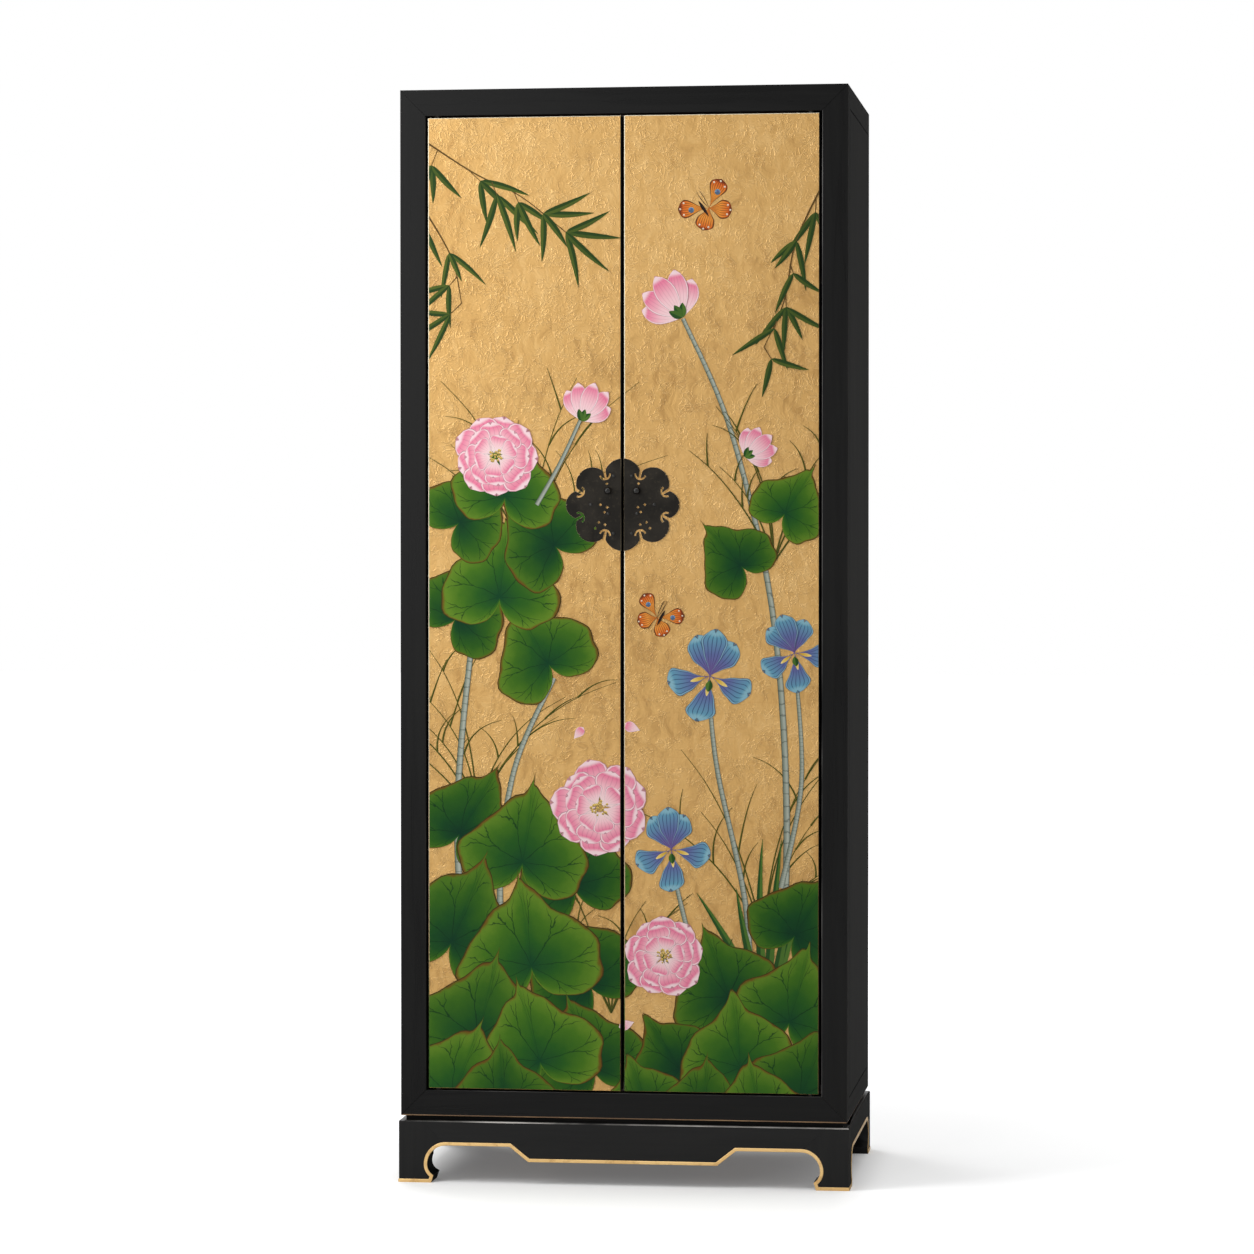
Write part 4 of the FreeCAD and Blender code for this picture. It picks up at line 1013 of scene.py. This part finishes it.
# High up: a long stem with flowers, bamboo that hangs in at the corners, and the butterflies
bud((0.104, 1.502), 0.086, 34)
bud((0.212, 1.262), 0.060, -52)
bamboo([(-0.352, 1.815), (-0.260, 1.755), (-0.180, 1.715), (-0.110, 1.660)], 6, 0.105)
bamboo([(-0.352, 1.700), (-0.300, 1.610), (-0.282, 1.530)], 4, 0.090)
bamboo([(0.352, 1.740), (0.300, 1.630), (0.280, 1.530), (0.245, 1.450)], 6, 0.095)
butterfly((0.150, 1.690), 0.050, 34)
butterfly((0.060, 0.985), 0.044, -28)


def skin_of(stroke, limits):
    """A touch as a closed thin skin on a door's face, cut at the door's edges, or None off the door."""
    left, _, right, _ = stroke["area"]
    if right < limits[0] or left > limits[1]:
        return None
    work = bmesh.new()
    layers = [work.verts.layers.float.new(name) for name in ("along", "aside", "tone")]
    top = door_face_y - PAINT_FIRST - PAINT_SKIN * stroke["level"]
    back = door_face_y + PAINT_SINK
    grid = []
    for row in stroke["rows"]:
        line = []
        for x, z, along, aside in row:
            corner = work.verts.new((x, top, z))
            for layer, value in zip(layers, (along, aside, stroke["tone"])):
                corner[layer] = value
            line.append(corner)
        grid.append(line)
    wide = len(grid[0])
    reach = wide if stroke["wraps"] else wide - 1
    for a, b in zip(grid, grid[1:]):
        for j in range(reach):
            k = (j + 1) % wide
            work.faces.new((a[j], a[k], b[k], b[j]))
    if stroke["wraps"]:
        work.faces.new(grid[0])
        rim = grid[-1]
    else:
        rim = grid[0] + [row[-1] for row in grid[1:-1]] + grid[-1][::-1] + [row[0] for row in grid[-2:0:-1]]
    sole = []
    for corner in rim:
        copy = work.verts.new((corner.co.x, back, corner.co.z))
        for layer in layers:
            copy[layer] = corner[layer]
        sole.append(copy)
    for j in range(len(rim)):
        k = (j + 1) % len(rim)
        work.faces.new((rim[j], rim[k], sole[k], sole[j]))
    work.faces.new(sole)
    for place, normal in (
        ((limits[0], 0, 0), (-1, 0, 0)), ((limits[1], 0, 0), (1, 0, 0)),
        ((0, 0, limits[2]), (0, 0, -1)), ((0, 0, limits[3]), (0, 0, 1)),
    ):
        geometry = work.verts[:] + work.edges[:] + work.faces[:]
        bmesh.ops.bisect_plane(work, geom=geometry, plane_co=place, plane_no=normal, clear_outer=True)
        bmesh.ops.holes_fill(work, edges=[e for e in work.edges if e.is_boundary])
    if not work.faces:
        work.free()
        return None
    bmesh.ops.recalc_face_normals(work, faces=work.faces)
    return work


def paint_door(side, limits):
    """All touches on one door, as one piece for each kind of paint."""
    kinds = {}
    for stroke in touches:
        skin = skin_of(stroke, limits)
        if skin is None:
            continue
        kind = stroke["kind"]
        if kind not in kinds:
            kinds[kind] = bpy.data.meshes.new(f"{side}_{kind}_paint")
        joined = bmesh.new()
        joined.from_mesh(kinds[kind])
        scrap = bpy.data.meshes.new("scrap")
        skin.to_mesh(scrap)
        joined.from_mesh(scrap)
        joined.to_mesh(kinds[kind])
        joined.free()
        skin.free()
        bpy.data.meshes.remove(scrap)
    for kind, mesh in kinds.items():
        piece = put(f"{side}_{kind}_paint", mesh)
        finish_with(piece, paints[kind])
        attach(piece, f"{side}_door")


def ramp(tree, share, *stops):
    """Colours at places from 0 to 1."""
    node = tree.nodes.new("ShaderNodeValToRGB")
    tree.links.new(share, node.inputs[0])
    bar = node.color_ramp
    while len(bar.elements) < len(stops):
        bar.elements.new(0.5)
    for element, (place, colour) in zip(bar.elements, stops):
        element.position = place
        element.color = (*colour, 1.0)
    return node.outputs["Color"]


def make_brushwork():
    """The streaks and pooling of hand-laid gouache, over the creases of the gold beneath."""
    group, streaks, out = shader_group("brushwork", "Streaks", "NodeSocketFloat", PAINT_STREAKS,
                                       "Tone", "Height")
    place = on_piece(group)
    slow = cloud(group, place, 17.0, 4.0, 0.6)
    fine = cloud(group, place, streaks, 4.0)
    below = placed_group(group, leaf_crinkle, Creases=LEAF_CREASES)["Height"]
    feed_all(group, out, {
        "Tone": sums(group, "MULTIPLY_ADD", fine, 0.4, times(group, slow, 0.6)),
        "Height": sums(group, "MULTIPLY_ADD", below, 0.55, times(group, fine, 0.45)),
    })
    return group


brushwork = make_brushwork()


def make_paint(kind, colour_of):
    """Satin gouache whose colour is worked out from the place along and across the touch."""
    material, tree, shader = new_finish(f"{kind}_paint")
    hand = placed_group(tree, brushwork, Streaks=PAINT_STREAKS)
    along, aside, tone = (painted_value(tree, name) for name in ("along", "aside", "tone"))
    feed_all(tree, shader, {
        "Base Color": colour_of(tree, along, aside, tone, hand),
        "Roughness": spread(tree, hand["Tone"], 0.3, 0.7, PAINT_ROUGH - 0.05, PAINT_ROUGH + 0.07),
        "Normal": relief(tree, hand["Height"], 0.18, 0.0005),
        "Specular IOR Level": 0.07,
    })
    return material


def shift(tree, share, hand, amount):
    """A share pushed to and fro by the brushwork."""
    push = times(tree, sums(tree, "SUBTRACT", hand["Tone"], 0.5), amount)
    return sums(tree, "ADD", share, push)


def leaf_colour(tree, along, aside, tone, hand):
    """Blue-green about the stalk, then yellow-green to a rim touched with russet, with forked veins."""
    worked = shift(tree, along, hand, 0.45)
    green = ramp(tree, worked, (0.0, (0.0025, 0.026, 0.014)), (0.36, (0.006, 0.050, 0.013)),
                 (0.70, (0.020, 0.088, 0.010)), (0.94, (0.052, 0.140, 0.012)))
    pale = ramp(tree, worked, (0.0, (0.006, 0.056, 0.018)), (0.36, (0.022, 0.104, 0.013)),
                (0.70, (0.060, 0.165, 0.013)), (0.95, (0.130, 0.245, 0.022)))
    green = blend_colour(tree, tone, green, pale)
    rays = sums(tree, "MULTIPLY_ADD", aside, 5.5, times(tree, hand["Tone"], 0.55))
    apart = sums(tree, "ABSOLUTE", sums(tree, "SUBTRACT", sums(tree, "FRACT", rays), 0.5))
    fork = times(tree, sums(tree, "MAXIMUM", sums(tree, "SUBTRACT", along, 0.50), 0.0), 0.55)
    near = sums(tree, "ABSOLUTE", sums(tree, "SUBTRACT", apart, fork))
    twice = times(tree, sums(tree, "MAXIMUM", sums(tree, "SUBTRACT", along, 0.70), 0.0), 0.50)
    near = sums(tree, "ABSOLUTE", sums(tree, "SUBTRACT", near, twice))
    near = times(tree, near, sums(tree, "ADD", along, 0.15))
    vein = rest_of(tree, fade(tree, near, 0.005, 0.017))
    vein = times(tree, vein, rest_of(tree, fade(tree, along, 0.86, 0.97)))
    green = blend_colour(tree, times(tree, vein, 0.80), green, (0.003, 0.024, 0.008, 1.0))
    edge = fade(tree, shift(tree, along, hand, 0.20), 0.93, 0.995)
    green = blend_colour(tree, times(tree, edge, 0.85), green, (0.150, 0.050, 0.010, 1.0))
    outline = times(tree, fade(tree, along, 0.978, 0.990), 0.75)
    return blend_colour(tree, outline, green, (0.020, 0.018, 0.006, 1.0))


def petal_colour(root, middle, tip, rim, line, ribs=3.0, drawn=0.20):
    """A wash from root to tip with a rim of its own, fine drawn ribs and an outline."""
    def colour(tree, along, aside, tone, hand):
        wash = ramp(tree, shift(tree, along, hand, 0.22), (0.04, root), (0.45, middle), (0.88, tip))
        across = sums(tree, "FRACT", times(tree, aside, ribs))
        near = sums(tree, "ABSOLUTE", sums(tree, "SUBTRACT", across, 0.5))
        rib = times(tree, rest_of(tree, fade(tree, near, 0.05, 0.15)), drawn)
        wash = blend_colour(tree, rib, wash, (*line, 1.0))
        side = sums(tree, "ABSOLUTE", aside)
        edge = fade(tree, sums(tree, "MAXIMUM", side, along), 0.82, 0.93)
        wash = blend_colour(tree, times(tree, edge, 0.75), wash, (*rim, 1.0))
        outline = sums(tree, "MAXIMUM", fade(tree, side, 0.935, 0.965), fade(tree, along, 0.972, 0.988))
        return blend_colour(tree, times(tree, outline, 0.70), wash, (*line, 1.0))
    return colour


def blade_colour(light, dark):
    """A two-tone blade, darker to one side of its midrib."""
    def colour(tree, along, aside, tone, hand):
        half = fade(tree, shift(tree, aside, hand, 0.5), -0.15, 0.15)
        blade = blend_colour(tree, half, (*dark, 1.0), (*light, 1.0))
        return blend_colour(tree, times(tree, tone, 0.5), blade, (*dark, 1.0))
    return colour


def stem_colour(tree, along, aside, tone, hand):
    """A grey-green round stem, lit from one side, with fine dark rings and an outline."""
    body = ramp(tree, sums(tree, "MULTIPLY_ADD", aside, 0.5, 0.5), (0.0, (0.250, 0.290, 0.240)),
                (0.35, (0.430, 0.465, 0.390)), (1.0, (0.110, 0.145, 0.105)))
    rings = sums(tree, "FRACT", sums(tree, "MULTIPLY_ADD", hand["Tone"], 1.6, times(tree, along, 70.0)))
    band = rest_of(tree, fade(tree, rings, 0.06, 0.16))
    body = blend_colour(tree, times(tree, band, 0.55), body, (0.060, 0.075, 0.065, 1.0))
    outline = fade(tree, sums(tree, "ABSOLUTE", aside), 0.70, 0.98)
    return blend_colour(tree, times(tree, outline, 0.60), body, (0.030, 0.040, 0.034, 1.0))


PAINT_COLOURS = {
    "leaf": leaf_colour,
    "pink": petal_colour((0.93, 0.76, 0.74), (0.92, 0.58, 0.62), (0.80, 0.17, 0.31), (0.96, 0.86, 0.85),
                         (0.36, 0.06, 0.12)),
    "blue": petal_colour((0.16, 0.09, 0.27), (0.12, 0.15, 0.34), (0.13, 0.34, 0.46), (0.28, 0.50, 0.58),
                         (0.015, 0.02, 0.08), drawn=0.62),
    "wing": petal_colour((0.55, 0.16, 0.03), (0.80, 0.30, 0.05), (0.66, 0.12, 0.02), (0.035, 0.016, 0.012),
                         (0.030, 0.014, 0.010), ribs=4.0, drawn=0.80),
    "pale": petal_colour((0.90, 0.86, 0.74), (0.90, 0.84, 0.70), (0.84, 0.76, 0.60), (0.84, 0.76, 0.60),
                         (0.50, 0.40, 0.26)),
    "pollen": petal_colour((0.50, 0.27, 0.03), (0.72, 0.46, 0.08), (0.86, 0.66, 0.20), (0.90, 0.74, 0.32),
                           (0.20, 0.10, 0.02)),
    "leaf_blade": blade_colour((0.085, 0.180, 0.030), (0.020, 0.070, 0.016)),
    "blade": blade_colour((0.130, 0.120, 0.018), (0.045, 0.055, 0.010)),
    "bamboo": blade_colour((0.075, 0.110, 0.020), (0.022, 0.050, 0.012)),
    "twig": blade_colour((0.160, 0.095, 0.030), (0.075, 0.042, 0.012)),
    "stem": stem_colour,
    "ink": blade_colour((0.030, 0.020, 0.016), (0.012, 0.008, 0.007)),
}
paints = {kind: make_paint(kind, colour_of) for kind, colour_of in PAINT_COLOURS.items()}
for side in ("left", "right"):
    low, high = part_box(f"{side}_door_panel")
    paint_door(side, (low[0] + PAINT_MARGIN, high[0] - PAINT_MARGIN,
                      low[2] + PAINT_FOOT, high[2] - PAINT_MARGIN))

# Lock plate: a cloud-lobed plate of blackened brass, sawn in two so that each door carries half,
# with pierced scrolls, nailed studs and a turned pull knob on a through shank with a nut behind.

PLATE_BLACK = (0.0100, 0.0086, 0.0068, 1.0)
PLATE_PATINA = (0.0210, 0.0178, 0.0138, 1.0)
PLATE_WEAR_AND_HIGHLIGHT = (0.90, 0.76, 0.50, 1.0)
BRASS_DEEP = (0.62, 0.46, 0.22, 1.0)
BRASS_LIGHT = (0.88, 0.72, 0.44, 1.0)
KNOB_BLACK = (0.0040, 0.0036, 0.0030, 1.0)
PLATE_ARRIS = 0.0008
NUT_ARRIS = 0.0004
STUD_ARRIS = 0.0010
KNOB_SHANK = 0.003
SHANK_CHAMFER = 0.0005
KNOB_SIDES = 40


def make_plate_black(name, dark, light, rough, shine, wear):
    """Blackened brass, finely pitted and rubbed bright at its arrises, where the bright colour is also a
    painted highlight.
    """
    material, tree, shader = new_finish(name)
    place = on_piece(tree)
    # The arris mask lays rubbed brass and a painted highlight along the rims.
    worn = placed_group(tree, wear_and_highlight_arris, Reach=wear)["Mask"]
    pitted = fade(tree, cloud(tree, place, 190.0, 4.0, 0.6), 0.56, 0.74)
    patina = blend_colour(tree, fade(tree, cloud(tree, place, 30.0, 3.0), 0.35, 0.70), dark, light)
    bared_and_highlit = sums(tree, "MAXIMUM", worn, times(tree, pitted, 0.02))
    feed_all(tree, shader, {
        "Base Color": blend_colour(tree, bared_and_highlit, patina, PLATE_WEAR_AND_HIGHLIGHT),
        "Roughness": spread(tree, pitted, 0.0, 1.0, rough, rough + 0.16),
        "Normal": relief(tree, cloud(tree, place, 130.0, 4.0), 0.22, 0.0006),
        "Metallic": 0.20,
        "Specular IOR Level": shine,
    })
    return material


plate_black = make_plate_black("blackened_plate", PLATE_BLACK, PLATE_PATINA, 0.42, 0.10, 1.0)
turned_black = make_plate_black("blackened_knob", KNOB_BLACK, PLATE_BLACK, 0.14, 0.36, 0.02)
sawn_brass = make_gilding("sawn_brass", BRASS_DEEP, BRASS_LIGHT, 0.20, 0.30)

KNOB_SHAPE = (
    (0.00, 0.0000), (0.30, 0.0003), (0.56, 0.0012), (0.78, 0.0027), (0.93, 0.0046), (1.00, 0.0066),
    (0.97, 0.0082), (0.86, 0.0094), (0.70, 0.0102), (0.60, 0.0112), (0.62, 0.0122), (0.70, 0.0130),
)


def turned_knob(side, shank):
    """A domed pull on a waisted neck, turned about its shank, which runs on through the door."""
    low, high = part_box(f"{side}_knob")
    middle_x = (low[0] + high[0]) / 2
    middle_z = (low[2] + high[2]) / 2
    radius = (high[0] - low[0]) / 2
    outline = [(share * radius, low[1] + back) for share, back in KNOB_SHAPE]
    outline += [(shank, low[1] + KNOB_SHAPE[-1][1]), (shank, high[1] - SHANK_CHAMFER)]
    outline += [(shank - SHANK_CHAMFER, high[1]), (0.0, high[1])]
    work = bmesh.new()
    rings = []
    for reach, y in outline:
        turns = [math.tau * i / KNOB_SIDES for i in range(KNOB_SIDES if reach else 1)]
        spots = [(middle_x + reach * math.cos(turn), y, middle_z + reach * math.sin(turn)) for turn in turns]
        rings.append([work.verts.new(spot) for spot in spots])
    for a, b in zip(rings, rings[1:]):
        for i in range(KNOB_SIDES):
            k = (i + 1) % KNOB_SIDES
            corners = [a[i % len(a)], a[k % len(a)], b[k % len(b)], b[i % len(b)]]
            work.faces.new(list(dict.fromkeys(corners)))
    bmesh.ops.recalc_face_normals(work, faces=work.faces)
    mesh = bpy.data.meshes.new(f"{side}_knob_turned")
    work.to_mesh(mesh)
    work.free()
    mesh.shade_smooth()
    mesh.set_sharp_from_angle(angle=SHADE_ANGLE)
    piece = put(f"{side}_knob_turned", mesh)
    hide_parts(f"{side}_knob")
    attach(piece, f"{side}_door")
    return piece


def plate_finish(face):
    """Bare brass on the sawn walls, apart from those that look right, and black on the rest."""
    return "brass" if abs(face.normal.y) < 0.5 and face.normal.x < 0.7 else "black"


for side in ("left", "right"):
    plate = dress(f"{side}_lock_plate", PLATE_ARRIS)
    lay_finishes(plate, {"black": plate_black, "brass": sawn_brass}, plate_finish)
    finish_with(turned_knob(side, KNOB_SHANK), turned_black)
    finish_with(dress(f"{side}_knob_nut", NUT_ARRIS), steel)
    finish_with(dress(f"{side}_plate_studs", STUD_ARRIS, 3), turned_black)

# Stage: a plain pale floor that runs on into a white surround, with a painted shadow under and before the
# stand, soft light from the left and front, and the camera at the photograph's viewing angle.

PHOTO_SIDE = 1254.0
FOCAL_PIXELS = 4055.0
EYE = Vector((0.933, -7.188, 1.091))
EYE_YAW = math.radians(7.59)
EYE_PITCH = math.radians(-1.0)

camera_data = bpy.data.cameras.new("photo_camera")
camera_data.sensor_width = 36.0
camera_data.lens = camera_data.sensor_width * FOCAL_PIXELS / PHOTO_SIDE
camera = put("photo_camera", camera_data)
camera.location = EYE
camera.rotation_euler = (math.radians(90.0) + EYE_PITCH, 0.0, EYE_YAW)
bpy.context.scene.camera = camera

FLOOR_REACH = 30.0
FLOOR_GLOW_NEAR = 0.40
FLOOR_GLOW_FAR = 0.95
FLOOR_PAINTED_SHADOW = 0.27
SURROUND_LEVEL = 0.20
PALE = (0.90, 0.90, 0.90, 1.0)
WHITE = (1.0, 1.0, 1.0, 1.0)


def seen(tree):
    """1 for what the camera sees straight, in a gloss or through something clear, and 0 for other light."""
    path = tree.nodes.new("ShaderNodeLightPath").outputs
    through = sums(tree, "MAXIMUM", path["Is Glossy Ray"], path["Is Transmission Ray"])
    return sums(tree, "MAXIMUM", path["Is Camera Ray"], through)


def make_floor():
    """A pale floor that glows to white, with a painted shadow: less glow under the stand and before it."""
    mesh = bpy.data.meshes.new("studio_floor")
    corners = [(x * FLOOR_REACH, y * FLOOR_REACH, 0) for x, y in ((-1, -1), (1, -1), (1, 1), (-1, 1))]
    mesh.from_pydata(corners, [], [(0, 1, 2, 3)])
    floor = put("studio_floor", mesh)
    material, tree, shader = new_finish("studio_floor")
    away = add(tree, "ShaderNodeVectorMath", on_piece(tree), operation="LENGTH").outputs["Value"]
    glow = fade(tree, away, 0.7, 3.0, FLOOR_GLOW_NEAR, FLOOR_GLOW_FAR)
    place = parts_of(tree, on_piece(tree))
    across = rest_of(tree, fade(tree, sums(tree, "ABSOLUTE", place["X"]), 0.36, 0.45))
    before = fade(tree, times(tree, place["Y"], -1.0), 0.10, 0.70)
    deep = rest_of(tree, sums(tree, "MAXIMUM", before, fade(tree, place["Y"], 0.20, 0.34)))
    # Dimming the glow here paints the shadow under the stand and before it.
    shade = times(tree, times(tree, across, deep), FLOOR_PAINTED_SHADOW)
    feed_all(tree, shader, {
        "Base Color": PALE,
        "Roughness": 0.9,
        "Specular IOR Level": 0.0,
        "Emission Color": WHITE,
        "Emission Strength": times(tree, seen(tree), sums(tree, "SUBTRACT", glow, shade)),
    })
    finish_with(floor, material)


make_floor()


def make_surround(light_level):
    """White to the camera and in reflections, and an even low light on everything else."""
    world = bpy.data.worlds.new("studio_surround")
    bpy.context.scene.world = world
    world.use_nodes = True
    tree = world.node_tree
    level = sums(tree, "MULTIPLY_ADD", seen(tree), 1.0 - light_level, light_level)
    feed_all(tree, tree.nodes["Background"].inputs, {"Color": WHITE, "Strength": level})


make_surround(SURROUND_LEVEL)


def softbox(name, place, target, size, power):
    """A wide soft lamp that looks at a target."""
    data = bpy.data.lights.new(name, "AREA")
    data.shape = "RECTANGLE"
    data.size, data.size_y = size
    data.energy = power
    lamp = put(name, data)
    lamp.location = place
    lamp.rotation_euler = (Vector(target) - Vector(place)).to_track_quat("-Z", "Y").to_euler()


softbox("key_left", (-1.20, -1.12, 1.80), (0.0, -0.2, 1.15), (0.7, 1.9), 21.0)
softbox("sheen_left", (-1.80, -6.8, 2.1), (0.0, -0.2, 1.0), (1.0, 2.6), 36.0)
softbox("back_wash", (-2.6, 3.6, 2.6), (0.0, 0.2, 0.9), (2.0, 2.0), 62.0)
softbox("right_wash", (3.8, 0.9, 2.0), (0.3, 0.0, 0.9), (1.6, 2.4), 24.0)
softbox("fill_front", (1.6, -5.5, 2.4), (0.0, 0.0, 0.9), (2.5, 2.5), 2.0)
softbox("top_wash", (0.0, -0.4, 4.6), (0.0, 0.0, 0.0), (4.0, 4.0), 98.0)

bpy.context.scene.view_settings.view_transform = "Standard"
